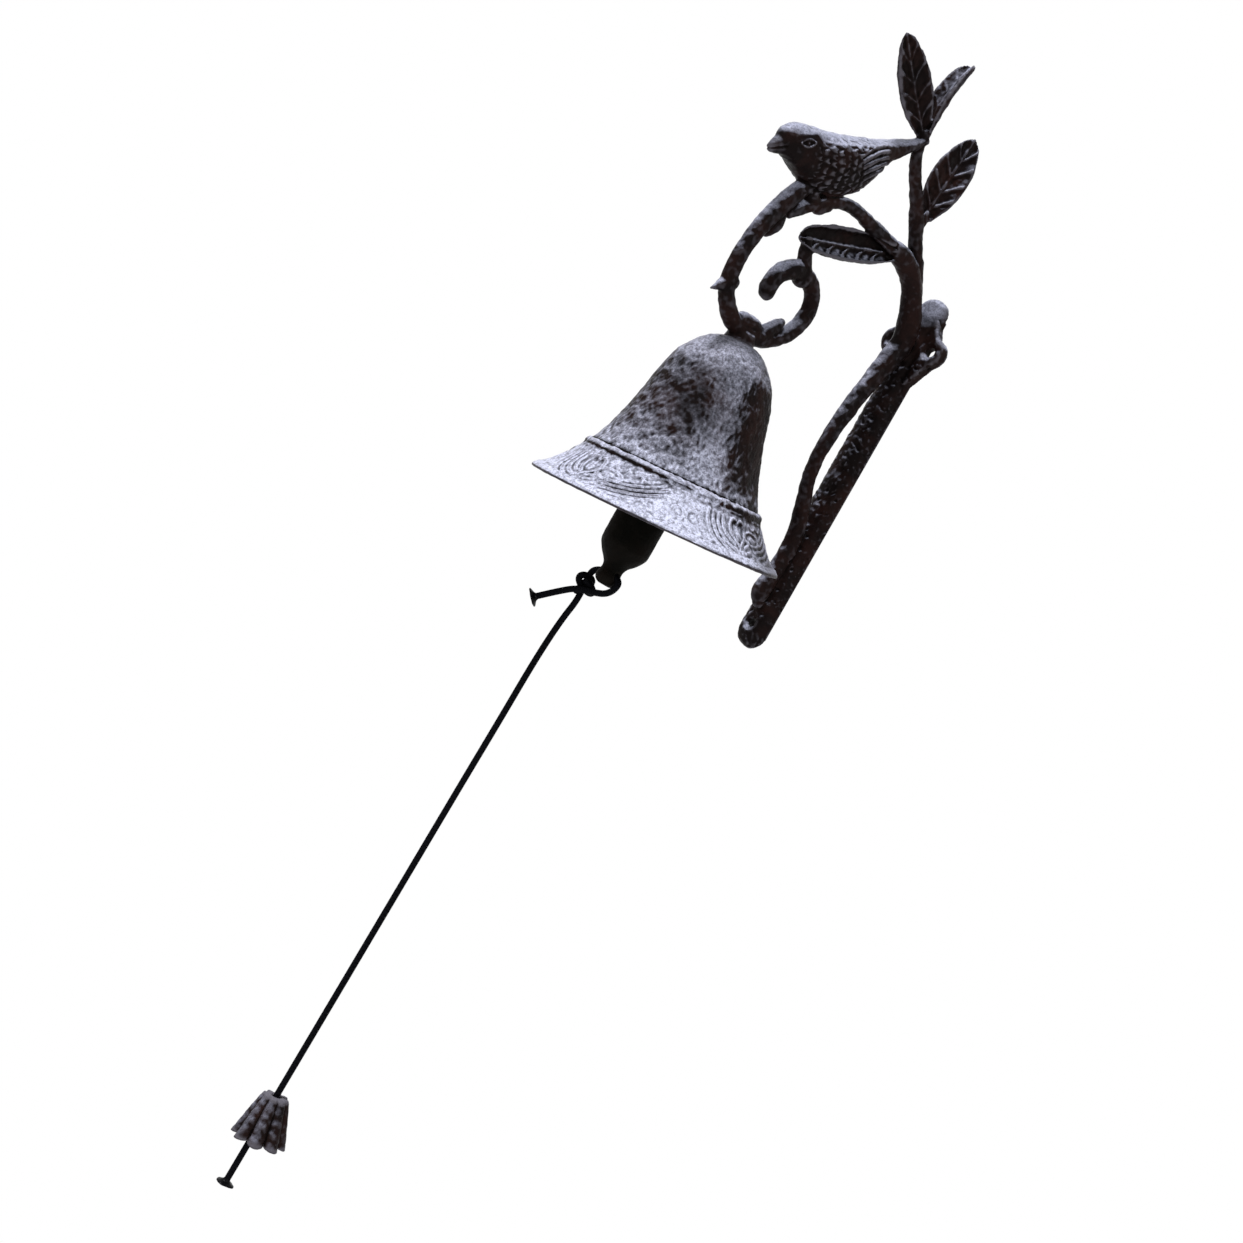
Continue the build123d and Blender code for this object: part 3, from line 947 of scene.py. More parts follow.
@dataclass
class PhotoCamera:
    """The camera at the photograph's viewing angle, rolled as the photograph is."""

    position: Row = (0.5056, -0.5969, -0.1604)
    azimuth: float = 44.0
    roll: float = 29.8
    lens: float = 53.84
    sensor: float = 36.0

    def build(self) -> bpy.types.Object:
        """Make the camera the scene's own.

        Returns:
            The camera.
        """
        data = bpy.data.cameras.new("photo_camera")
        data.lens = self.lens
        data.sensor_width = self.sensor
        turn = math.radians(self.azimuth)
        view = Vector((-math.sin(turn), math.cos(turn), 0.0))
        right = Vector((math.cos(turn), math.sin(turn), 0.0))
        up = Vector((0.0, 0.0, 1.0))
        roll = math.radians(self.roll)
        rolled_right = right * math.cos(roll) + up * math.sin(roll)
        rolled_up = up * math.cos(roll) - right * math.sin(roll)
        axes = Matrix((rolled_right, rolled_up, -view)).transposed()
        camera = bpy.data.objects.new("photo_camera", data)
        camera.matrix_world = Matrix.Translation(self.position) @ axes.to_4x4()
        bpy.context.scene.collection.objects.link(camera)
        bpy.context.scene.camera = camera
        return camera


@dataclass
class Cordage:
    """The cord: threaded through the clapper's foot, knotted below it, and hung to the pull."""

    radius: float = 1.3
    pull_rows: Rows = (
        (92.1, -146.627, 0.0),
        (92.1, -146.627, -9.2),
        (91.4, -154.4, -10.1),
        (91.4, -161.0, -8.9),
        (92.7, -172.0, -10.0),
        (93.6, -190.0, -10.6),
        (93.8, -217.0, -10.8),
        (94.2, -252.0, -11.4),
        (96.3, -423.6, -12.9),
    )
    loop_rows: Rows = (
        (92.1, -146.627, 0.0),
        (92.1, -146.627, 7.8),
        (92.2, -153.8, 5.6),
        (93.4, -156.4, -2.4),
        (94.4, -157.6, -9.0),
        (97.4, -161.6, -13.4),
        (101.6, -168.2, -19.2),
    )
    pull_length: float = 0.2852
    loop_length: float = 0.0442
    end_profile: Rows = (
        (1.15, -0.6),
        (1.25, 0.0),
        (1.7, 0.7),
        (2.7, 1.25),
        (3.6, 1.5),
        (3.8, 1.85),
        (3.55, 2.15),
        (2.4, 2.1),
        (1.0, 1.95),
        (0.0, 1.9),
    )
    knot_centre: Row = (92.1, -155.2, -8.7)
    knot_reach: float = 1.32
    knot_strand: float = 1.35
    knot_lean: float = 35.0
    end_lumps: Row = (0.22, 2.2)

    def curve(self, name: str, rows: Rows) -> bpy.types.Object:
        """Return one run of the cord as a smooth curve along its route.

        Args:
            name: The curve's name.
            rows: The depth, height and side of each point on its route.

        Returns:
            The curve's object.
        """
        data = bpy.data.curves.new(name, "CURVE")
        data.dimensions = "3D"
        data.bevel_depth = self.radius * METRE
        data.bevel_resolution = 5
        data.use_fill_caps = True
        data.resolution_u = 16
        spline = data.splines.new("NURBS")
        spline.points.add(len(rows) - 1)
        for point, (depth, height, side) in zip(spline.points, rows):
            point.co = (*(place(depth, height, side) * METRE), 1.0)
        spline.order_u = 3
        spline.use_endpoint_u = True
        return dressed(name, data, BLACK_CORD.material(), Body.CORD)

    def melted_end(self, name: str, rows: Rows, seed: float) -> bpy.types.Object:
        """Return the flared end where the cut cord was melted flat.

        Args:
            name: The piece's name.
            rows: The depth, height and side of each point on the cord's route.
            seed: The number that picks its lumps.

        Returns:
            The end's object.
        """
        last = place(*rows[-1])
        along = unit(last - place(*rows[-2]))
        shells = Shells()
        shells.add_turned(self.end_profile, last, along)
        skin = Skin(evaluated(shells.mesh(name), "SUBSURF", levels=1))
        height, size = self.end_lumps
        skin.lift(height * lumps(skin.points, size, seed))
        return skin.piece(name, MELTED, Slot.CORD, Body.CORD)

    def knot(
        self, name: str, centre: np.ndarray, reach: float, strand: float, axes: np.ndarray
    ) -> bpy.types.Object:
        """Return a tight tied knot.

        Args:
            name: The piece's name.
            centre: The middle of the knot.
            reach: The size of its turns.
            strand: The radius of the cord in it.
            axes: Three rows: the knot's width, height and depth directions.

        Returns:
            The knot's object.
        """
        turn = np.linspace(0, 2 * math.pi, 96, endpoint=False)
        line = np.stack(
            (
                np.sin(turn) + 2 * np.sin(2 * turn),
                np.cos(turn) - 2 * np.cos(2 * turn),
                -1.25 * np.sin(3 * turn),
            ),
            axis=1,
        )
        centres = centre + reach * line @ axes
        headings = np.roll(centres, -1, axis=0) - np.roll(centres, 1, axis=0)
        sides = np.linspace(0, 2 * math.pi, 14, endpoint=False)
        rings = []
        for middle, heading in zip(centres, headings):
            across = unit(np.cross(heading, unit(middle - centre)))
            aside = unit(np.cross(across, heading))
            circle = np.outer(np.cos(sides), aside) + np.outer(np.sin(sides), across)
            rings.append(middle + strand * circle)
        shells = Shells()
        shells.add_rings(rings, closed=True)
        skin = Skin(shells.mesh(name))
        return skin.piece(name, BLACK_CORD, Slot.CORD, Body.CORD)

    def build(self) -> None:
        pull = self.curve("pull_cord_line", self.pull_rows)
        loop = self.curve("loop_cord_line", self.loop_rows)
        pull_end = self.melted_end("pull_cord_melted_end", self.pull_rows, 3.0)
        loop_end = self.melted_end("loop_cord_melted_end", self.loop_rows, 5.0)
        tilt = math.radians(self.knot_lean)
        axes = np.array(
            (
                unit(np.array((math.cos(tilt), 0.25, -math.sin(tilt)))),
                unit(np.array((math.sin(tilt), 0.1, math.cos(tilt)))),
                (0.0, -1.0, 0.0),
            )
        )
        loop_knot = self.knot(
            "loop_tied_knot", place(*self.knot_centre), self.knot_reach, self.knot_strand, axes
        )
        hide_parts("pull_cord")
        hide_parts("loop_cord")
        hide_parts("pull_cord_end")
        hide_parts("loop_cord_end")
        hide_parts("loop_knot")


@dataclass(frozen=True)
class LeafBlade:
    """One folded leaf with a thick edge, a midrib and side veins."""

    base: Row
    tip: Row
    face: Row
    half_width: float
    fold: float
    sag: float
    vein_height: float = 0.7
    vein_count: int = 4
    rim_height: float = 0.75
    thickness: float = 2.1
    rounding: float = 0.8
    end_share: float = 0.94
    tip_round: float = 0.1
    halves: Row = (1.0, 1.0)
    rim_lift: float = 0.0
    rim_at: Row = (0.82, 0.2)
    rim_light_at: Row = (0.86, 0.13)
    midrib_width: float = 0.75
    vein_width: float = 1.0
    vein_slant: float = 0.2
    first_vein: float = 0.1
    vein_stretch: float = 0.8
    field_drop: float = 0.35
    columns: int = 21
    stations: int = 60

    def frame(self) -> tuple[np.ndarray, np.ndarray, np.ndarray, np.ndarray, float]:
        """Return the base point, the three directions and the length.

        Returns:
            The point, the directions along, across and up the leaf, and its length.
        """
        start = place(*self.base)
        run = place(*self.tip) - start
        along = unit(run)
        across = unit(np.cross(np.array(self.face), along))
        return start, along, across, np.cross(along, across), float(np.linalg.norm(run))

    def swell(self, share: np.ndarray) -> np.ndarray:
        """Return the leaf's relative width along it.

        Args:
            share: How far along the leaf, from 0 at its base to 1 at its tip.

        Returns:
            The share of the full half width there.
        """
        inside = 0.1 + (self.end_share - 0.1) * share
        past = np.clip((share - 1 + self.tip_round) / self.tip_round, 0.0, 0.995)
        return np.sin(math.pi * inside) ** self.rounding * np.sqrt(1 - past**2)

    def add_to(self, shells: Shells) -> None:
        """Add the smooth blade to the shells of a casting.

        Args:
            shells: The shells that the leaf joins.
        """
        start, along, across, upward, length = self.frame()
        spread = np.linspace(-1, 1, self.columns)
        rim_middle, rim_width = self.rim_at
        rings = []
        for share in np.sin(np.linspace(0, math.pi / 2, self.stations)):
            swell = float(self.swell(np.array(share)))
            rise = self.fold * swell
            bow = 4 * self.sag * share * (1 - share)
            centre = start + along * share * length - upward * bow
            rim = self.rim_height * swell * bell_curve(np.abs(spread) - rim_middle, rim_width)
            upper = rise * spread**2 + rim - 0.25 * swell * np.abs(spread) ** 12
            body = self.thickness * (0.3 + 0.7 * swell)
            lower = (rise + 0.35 * swell) * np.abs(spread) ** 1.6 - body
            reach = self.half_width * swell
            top = np.outer(spread * reach, across) + np.outer(upper, upward)
            under = np.outer(spread[::-1] * reach, across) + np.outer(lower[::-1], upward)
            rings.append(centre + np.vstack((top, under)))
        shells.add_rings(rings)

    def veins(self, points: np.ndarray, normals: np.ndarray) -> np.ndarray:
        """Return the height of midrib, rim and side veins at each point of a casting.

        Args:
            points: Places in millimetres, one to a row.
            normals: The outward direction at each place.

        Returns:
            One height in millimetres for each place.
        """
        start, along, across, upward, length = self.frame()
        offset = points - start
        share = offset @ along / length
        swell = self.swell(np.clip(share, 0, 1))
        sideways = (offset @ across) / (self.half_width * swell)
        bow = 4 * self.sag * share * (1 - share)
        rise = offset @ upward + bow
        on_leaf = window(share, 0.04, 0.99, 0.03) * window(np.abs(sideways), -0.1, 1.06, 0.08)
        near = window(rise, -self.thickness - 0.8, self.fold + 1.2, 0.4)
        upper_side = np.clip((normals @ upward) * 2.2, 0, 1)
        spread = np.abs(sideways)
        from_middle = sideways * self.half_width * swell
        midrib = (0.2 + 0.75 * self.vein_height) * bell_curve(from_middle, self.midrib_width)
        side = np.zeros(len(points))
        for index in range(self.vein_count):
            root = self.first_vein + index * self.vein_stretch / self.vein_count
            path = root + self.vein_slant * spread**0.8
            side = np.maximum(side, bell_curve((share - path) * length, self.vein_width))
        inside = window(spread, 0.0, 0.8, 0.15)
        field_drop = -(self.field_drop * self.vein_height + 0.8 * self.rim_lift) * inside
        side *= np.where(sideways > 0, self.halves[1], self.halves[0])
        raised = np.maximum(midrib, self.vein_height * side * inside)
        edge_middle, edge_width = self.rim_light_at
        raised = np.maximum(raised, self.rim_lift * bell_curve(spread - edge_middle, edge_width))
        return on_leaf * near * upper_side * (field_drop + raised)


@dataclass(frozen=True)
class Bird:
    """The small perched bird, told along an axis from its beak to its tail."""

    beak_tip: Row = (131.4, 18.0)
    tail_tip: Row = (58.8, 66.3)
    body: Rows = (
        (6.2, 2.7, 3.8, 3.8),
        (11.0, 1.8, 7.0, 6.6),
        (17.4, -1.5, 9.9, 8.4),
        (25.6, -5.6, 11.8, 10.2),
        (36.0, -7.9, 12.0, 11.0),
        (46.0, -8.1, 10.6, 10.2),
        (54.0, -6.7, 8.3, 8.2),
        (61.0, -4.6, 5.6, 6.2),
        (69.0, -3.2, 3.9, 5.0),
        (78.0, -2.2, 2.5, 3.9),
        (86.0, -0.9, 1.6, 2.7),
    )
    wing: Rows = (
        (22.0, -3.0, 3.6, 6.4, 2.4),
        (30.0, -4.6, 6.8, 8.4, 3.0),
        (40.0, -5.2, 6.6, 8.4, 2.9),
        (50.0, -4.6, 5.2, 7.0, 2.4),
        (60.0, -3.0, 3.4, 5.0, 1.8),
        (68.0, -1.9, 1.4, 3.9, 1.1),
    )
    head: Row = (13.9, 1.6, 7.5)
    beak: Rows = (
        (8.5, 1.5, 4.6),
        (5.4, 1.1, 3.5),
        (2.8, 0.7, 2.4),
        (1.3, 0.35, 1.6),
        (0.5, 0.2, 0.9),
    )
    eye: Row = (14.4, 2.3, 6.4)
    eye_radius: float = 1.0
    feather_root: Row = (43.0, -11.0)
    feather_lean: float = 19.0
    feather_width: float = 2.55
    feather_count: int = 4
    feather_reach: Row = (0.0, 21.0, 1.4)
    feather_fade: Row = (-2.0, 15.0, 6.0)
    feather_bend: float = 0.012
    feather_height: Row = (1.4, -0.95)
    scale_length: float = 3.4
    scale_width: float = 3.0
    scale_height: Row = (0.58, -0.16)
    scale_along: Row = (21.0, 47.0, 4.0)
    scale_rise: Row = (-17.0, 0.8, 2.5)
    neck_along: Row = (8.0, 66.0, 4.0)
    neck_rise: Row = (-9.0, 12.0, 3.0)
    mouth_depth: float = 0.5
    mouth_along: Row = (0.0, 6.5, 1.0)
    lid_reach: float = 3.1
    lid_heights: Row = (0.6, 0.38)
    pupil_height: float = 0.75
    brow_height: float = 0.25

    def frame(self) -> tuple[np.ndarray, np.ndarray, np.ndarray]:
        """Return the beak's tip, and the directions along and up the bird.

        Returns:
            The place of the tip, and two directions of length one.
        """
        tip = place(*self.beak_tip)
        along = unit(place(*self.tail_tip) - tip)
        upward = np.cross(RIGHT, along)
        return tip, along, upward if upward[2] > 0 else -upward

    def spot(self, distance: float, rise: float, side: float = 0.0) -> np.ndarray:
        """Return a point from its distance behind the beak, its rise and its side."""
        tip, along, upward = self.frame()
        return tip + along * distance + upward * rise + np.array((side, 0.0, 0.0))

    def oval(self, centre: np.ndarray, half_height: float, half_width: float) -> np.ndarray:
        """Return one oval ring across the bird.

        Args:
            centre: The middle of the oval.
            half_height: Half its height.
            half_width: Half its width.

        Returns:
            The points of the oval, one to a row.
        """
        _, _, upward = self.frame()
        turn = np.linspace(0, 2 * math.pi, 40, endpoint=False)
        sideways = np.outer(half_width * np.cos(turn), RIGHT)
        return centre + sideways + np.outer(half_height * np.sin(turn), upward)

    def add_to(self, shells: Shells) -> None:
        """Add body, head, beak, eyes and wings to the shells of a casting.

        Args:
            shells: The shells that the bird joins.
        """
        rows = smooth_chain(self.body, 1.5)
        shells.add_rings([self.oval(self.spot(*row[:2]), row[2], row[3]) for row in rows])
        shells.add_ball(self.spot(*self.head[:2]), (self.head[2],) * 3)
        shells.add_rings([self.oval(self.spot(*row[:2]), row[2], row[2]) for row in self.beak])
        rows = smooth_chain(self.wing, 1.5)
        ahead, above, aside = self.eye
        for sign in (1, -1):
            shells.add_ball(self.spot(ahead, above, sign * aside), (self.eye_radius,) * 3)
            rings = []
            for distance, rise, half_height, side, half_width in rows:
                middle = self.spot(distance, rise, sign * side)
                rings.append(self.oval(middle, half_height, half_width))
            shells.add_rings(rings)

    def plumage(self, points: np.ndarray) -> np.ndarray:
        """Return the height of feathers, scales, eyelids and mouth at each point of a casting.

        Args:
            points: Places in millimetres, one to a row.

        Returns:
            One height in millimetres for each place.
        """
        tip, along, upward = self.frame()
        distance = (points - tip) @ along
        rise = (points - tip) @ upward
        side = np.abs(points[:, 0])
        on_bird = window(distance, 0.0, 88.0, 1.0) * window(rise, -20.0, 12.0, 0.5)
        flank = window(side, 3.0, 20.0, 2.0) * on_bird
        feathers, feathered = self.feathers(distance, rise)
        scales = self.scales(points, distance, rise) * (1 - feathered)
        mouth = -self.mouth_depth * bell_curve(rise + 0.1 - 0.12 * distance, 0.4)
        mouth *= window(distance, *self.mouth_along)
        return flank * (feathers + scales + self.lids(distance, rise)) + on_bird * mouth

    def neck(self, points: np.ndarray) -> np.ndarray:
        """Return 1 where the head flows into the back, and 0 away from there.

        Args:
            points: Places in millimetres, one to a row.

        Returns:
            One share from 0 to 1 for each place.
        """
        tip, along, upward = self.frame()
        distance = (points - tip) @ along
        rise = (points - tip) @ upward
        return window(distance, *self.neck_along) * window(rise, *self.neck_rise)

    def feathers(
        self, distance: np.ndarray, rise: np.ndarray
    ) -> tuple[np.ndarray, np.ndarray]:
        """Return the height of the long wing feathers, and 1 where they lie.

        Args:
            distance: How far along the bird, back from the tip of its beak.
            rise: The height above the bird's own axis.

        Returns:
            The height of the feathers, and the share of them, at each place.
        """
        lean = math.radians(self.feather_lean)
        ahead = distance - self.feather_root[0]
        above = rise - self.feather_root[1]
        along_feather = ahead * math.cos(lean) + above * math.sin(lean)
        across = above * math.cos(lean) - ahead * math.sin(lean)
        across = across + self.feather_bend * along_feather**2
        low = -0.9 * self.feather_width
        high = (self.feather_count - 0.6) * self.feather_width
        here = window(across, low, high, 0.6)
        here = here * window(along_feather, *self.feather_reach)
        arch = np.abs(np.sin(math.pi * across / self.feather_width)) ** 0.6
        fade = window(along_feather, *self.feather_fade)
        height, sink = self.feather_height
        return here * fade * (height * arch + sink), here

    def scales(
        self, points: np.ndarray, distance: np.ndarray, rise: np.ndarray
    ) -> np.ndarray:
        """Return the height of the small overlapping scales on the wing and breast.

        Args:
            points: Places in millimetres, one to a row.
            distance: How far along the bird, back from the tip of its beak.
            rise: The height above the bird's own axis.

        Returns:
            One height in millimetres for each place.
        """
        warped = distance + 1.1 * lumps(points, 5.0, 40.0)
        shifted = rise + 0.8 * lumps(points, 4.0, 41.0)
        step = warped / self.scale_length
        row = np.floor(step)
        around = shifted / self.scale_width + 0.5 * (row % 2)
        aside = (around - np.floor(around) - 0.5) * 2
        ahead = step - row
        tip = ahead - 0.75 * aside**2
        crescent = np.clip(tip / 0.45, 0, 1) * np.clip((0.86 - tip) / 0.14, 0, 1)
        crescent = crescent * window(np.abs(aside), -0.1, 0.55, 0.3)
        uneven = 0.75 + 0.45 * lumps(points, 2.6, 42.0)
        here = window(distance, *self.scale_along) * window(rise, *self.scale_rise)
        height, sink = self.scale_height
        return here * (height * crescent * uneven + sink)

    def lids(self, distance: np.ndarray, rise: np.ndarray) -> np.ndarray:
        """Return the height of the almond eyelids and the brow.

        Args:
            distance: How far along the bird, back from the tip of its beak.
            rise: The height above the bird's own axis.

        Returns:
            One height in millimetres for each place.
        """
        ahead = (distance - self.eye[0]) / self.lid_reach
        above = rise - self.eye[1]
        lower = -1.25 * (1 - ahead**2) - 0.1
        upper = 1.15 * (1 - ahead**2) + 0.1
        near = window(np.abs(ahead), -0.1, 1.0, 0.25)
        lower_height, upper_height = self.lid_heights
        ridge = lower_height * bell_curve(above - lower, 0.42)
        ridge = ridge + upper_height * bell_curve(above - upper, 0.42)
        within = window(above, lower + 0.35, upper - 0.35, 0.25)
        brow = self.brow_height * bell_curve(above - 2.9 - 0.1 * ahead, 0.8)
        brow = brow * window(ahead, -1.2, 1.6, 0.6)
        from_eye = np.hypot(distance - self.eye[0], above)
        pupil = self.pupil_height * bell_curve(from_eye, 0.75)
        return near * (ridge + pupil - 0.32 * within) + brow


@dataclass
class Bracket:
    """The one-piece iron casting: wall bar, trefoil, branches, leaves and bird."""

    bar_width: float = 14.8
    bar_depth: float = 6.5
    foot_drop: float = 143.8
    lower_screw_drop: float = 133.5
    ear_spacing: float = 20.0
    ear_radius: float = 6.5
    plate_depth: float = 5.0
    knob_rise: float = 15.9
    knob_radius: float = 6.5
    knob_depth: float = 7.2
    knob_rim: float = 3.4
    web: Rows = (
        (-17.0, 7.0),
        (-11.0, 10.2),
        (-5.4, 13.4),
        (0.0, 13.4),
        (5.4, 11.2),
        (9.5, 8.6),
        (13.6, 6.4),
    )
    hole_radius: float = 2.2
    ear_sink: float = 3.9
    foot_sink: float = 4.2
    sink_depth: float = 1.3
    voxel: float = 0.48
    triangles: int = 186000
    vine_and_stem: Rows = (
        (8.0, -125.0, 2.2),
        (9.9, -120.5, 3.8),
        (8.8, -111.0, 3.2),
        (8.2, -99.0, 3.4),
        (10.6, -88.5, 3.3),
        (14.8, -80.0, 3.0),
        (18.8, -71.5, 2.7),
        (20.9, -62.0, 2.8),
        (20.9, -51.0, 3.0),
        (19.3, -39.0, 3.3),
        (16.7, -26.5, 3.5),
        (13.2, -14.0, 4.2),
        (10.8, -4.5, 4.5),
        (11.2, 1.5, 4.8),
        (13.4, 7.0, 4.8),
        (16.8, 11.8, 4.5),
        (22.2, 17.8, 4.1),
        (30.0, 22.3, 4.2),
        (37.5, 24.2, 4.2),
        (44.0, 24.4, 3.6),
    )
    arch: Rows = (
        (41.0, 24.4, 3.2),
        (51.0, 24.8, 2.8),
        (61.0, 24.8, 2.8),
        (71.0, 24.9, 2.4),
        (80.0, 23.8, 2.4),
        (88.0, 20.4, 2.4),
        (94.0, 16.2, 2.5),
        (99.5, 11.4, 2.3),
        (104.5, 5.5, 1.8),
    )
    limb_and_scroll: Rows = (
        (101.0, 23.0, 3.2),
        (105.0, 17.0, 3.4),
        (108.6, 10.0, 3.6),
        (111.8, 2.4, 3.4),
        (114.4, -5.5, 3.2),
        (115.9, -14.5, 3.0),
        (116.1, -22.0, 3.0),
        (114.9, -29.0, 3.0),
        (111.3, -34.7, 3.0),
        (106.3, -38.4, 3.2),
        (100.5, -40.4, 3.6),
        (94.2, -40.6, 3.9),
        (87.4, -39.4, 3.7),
        (80.8, -36.9, 3.2),
        (75.2, -32.8, 3.0),
        (71.0, -27.4, 3.1),
        (69.0, -21.8, 3.1),
        (69.3, -16.3, 3.0),
        (71.8, -11.8, 3.0),
        (76.0, -9.1, 3.1),
        (81.2, -8.2, 3.3),
        (86.9, -9.1, 3.8),
        (91.2, -12.0, 3.7),
        (94.0, -16.0, 3.6),
        (94.8, -20.4, 3.4),
        (94.2, -23.0, 3.0),
    )
    twig: Rows = (
        (21.0, 19.0, 3.0),
        (26.0, 25.0, 3.0),
        (30.1, 28.7, 2.8),
        (34.2, 32.6, 2.7),
        (39.4, 38.4, 2.9),
        (47.1, 46.0, 2.5),
        (54.6, 52.6, 2.3),
        (59.4, 58.3, 2.2),
        (61.0, 65.0, 1.9),
        (61.3, 71.5, 1.4),
    )
    short_rods: tuple[Rows, ...] = (
        ((98.4, -38.0, 3.6), (94.6, -37.2, 3.5), (90.6, -36.8, 3.0)),
        ((81.6, -9.4, 4.0), (84.4, -4.8, 3.1), (86.8, -0.8, 2.5), (88.6, 2.4, 2.2)),
        ((38.0, 37.4, 2.4), (37.2, 40.5, 1.8), (36.8, 43.5, 1.5)),
        ((108.3, 5.0, 1.6), (107.8, 0.0, 2.6), (109.2, -4.0, 2.3), (110.2, -6.2, 1.2)),
        ((86.0, -37.5, 3.0), (82.6, -33.4, 2.8), (80.2, -30.4, 2.5), (79.2, -28.8, 1.5)),
        ((96.6, 14.4, 1.6), (92.8, 15.2, 2.8), (89.2, 18.0, 2.5)),
        ((96.0, 15.6, 2.4), (99.6, 17.0, 3.0), (103.4, 19.0, 3.2)),
    )
    thorn: Rows = ((113.0, -29.0, 2.9), (117.0, -32.2, 2.2), (120.7, -35.7, 0.2))
    leaves: tuple[LeafBlade, ...] = (
        LeafBlade(
            base=(62.4, 66.3),
            tip=(98.0, 88.8),
            face=(0.86, -0.5, 0.1),
            half_width=7.4,
            fold=1.6,
            sag=0.6,
            vein_height=0.5,
        ),
        LeafBlade(
            base=(60.9, 67.6),
            tip=(57.0, 100.9),
            face=(-0.25, -0.97, 0.0),
            half_width=6.0,
            fold=1.8,
            sag=-2.6,
            vein_height=0.2,
            rounding=0.5,
            end_share=0.86,
            rim_lift=0.3,
        ),
        LeafBlade(
            base=(37.2, 42.5),
            tip=(33.6, 81.2),
            face=(0.69, -0.72, 0.0),
            half_width=7.9,
            fold=1.6,
            sag=-0.8,
            vein_height=0.6,
        ),
        LeafBlade(
            base=(43.0, 22.6),
            tip=(93.4, 1.7),
            face=(0.9, -0.35, 0.25),
            half_width=6.6,
            fold=3.0,
            sag=1.2,
            vein_height=0.75,
            vein_count=5,
            rim_height=1.1,
            thickness=2.3,
            rounding=0.6,
            end_share=0.86,
            halves=(0.0, 1.0),
            rim_lift=0.8,
        ),
    )
    bird: Bird = Bird()
    seat: Rows = ((6.3, 0.0), (6.0, 1.2), (5.4, 4.0))
    relax_rounds: int = 5
    neck_rounds: int = 50
    skin_lumps: Rows = ((0.3, 5.0, 1.0), (0.16, 2.1, 2.0))
    pit_depth: float = 0.9
    grain_height: float = 0.35

    def bar(self, shells: Shells) -> None:
        """Add the half-round wall bar with its domed foot.

        Args:
            shells: The shells that the bar joins.
        """
        half = self.bar_width / 2
        centre = half - self.foot_drop
        turn = np.linspace(0, math.pi, 26)
        foot = centre - half * np.cos(np.radians(np.linspace(4, 88, 12)))
        straight = np.arange(centre + 1, self.knob_rise, 2.0)
        rings = []
        for rise in np.concatenate((foot, straight)):
            drop = max(0.0, centre - rise) / half
            share = math.sqrt(max(1e-4, 1 - drop * drop))
            deep = self.bar_depth * share**0.75
            across = half * share * np.cos(turn)
            outward = -deep * np.sin(turn) ** 0.9
            rings.append(np.stack((across, outward, np.full(len(turn), rise)), axis=1))
        shells.add_rings(rings)

    def ears(self, shells: Shells) -> None:
        """Add the two round ears that take the upper screws.

        Args:
            shells: The shells that the ears join.
        """
        ear = (
            (0.0, 0.0),
            (self.ear_radius, 0.0),
            (self.ear_radius, self.plate_depth - 0.9),
            (self.ear_radius - 0.25, self.plate_depth - 0.3),
            (self.ear_radius - 0.9, self.plate_depth),
            (0.0, self.plate_depth),
        )
        for side in (self.ear_spacing / 2, -self.ear_spacing / 2):
            shells.add_turned(ear, place(0.0, 0.0, side), np.array(OUTWARD))

    def knob(self, shells: Shells) -> None:
        """Add the domed knob at the top of the screw plate.

        Args:
            shells: The shells that the knob joins.
        """
        profile = [(0.0, 0.0), (self.knob_radius, 0.0)]
        dome = self.knob_depth - self.knob_rim
        for lift in np.radians(np.linspace(0, 90, 10)):
            across = self.knob_radius * math.cos(lift) ** 0.8
            profile.append((across, self.knob_rim + dome * math.sin(lift)))
        shells.add_turned(tuple(profile), place(0.0, self.knob_rise), np.array(OUTWARD))

    def neck_plate(self, shells: Shells) -> None:
        """Add the plate that joins the ears, the knob and the bar.

        Args:
            shells: The shells that the plate joins.
        """
        edge = 0.6
        rings = []
        for rise, wide in self.web:
            corners = (
                (-wide, 0.0, rise),
                (wide, 0.0, rise),
                (wide, -self.plate_depth + edge, rise),
                (wide - edge, -self.plate_depth, rise),
                (edge - wide, -self.plate_depth, rise),
                (-wide, -self.plate_depth + edge, rise),
            )
            rings.append(np.array(corners))
        shells.add_rings(rings)

    def screw_cutters(self) -> Shells:
        """Return the countersunk screw holes as cutters.

        Returns:
            The shells of the three holes.
        """
        cutters = Shells()
        clear = 0.6
        spots = (
            (self.ear_spacing / 2, 0.0, self.plate_depth, self.ear_sink),
            (-self.ear_spacing / 2, 0.0, self.plate_depth, self.ear_sink),
            (0.0, -self.lower_screw_drop, self.bar_depth, self.foot_sink),
        )
        for side, height, depth, sink in spots:
            profile = (
                (0.0, -2.0),
                (self.hole_radius, -2.0),
                (self.hole_radius, depth - self.sink_depth),
                (sink, depth),
                (sink + clear, depth + clear),
                (sink + clear, depth + 4.0),
                (0.0, depth + 4.0),
            )
            cutters.add_turned(profile, place(0.0, height, side), np.array(OUTWARD))
        return cutters

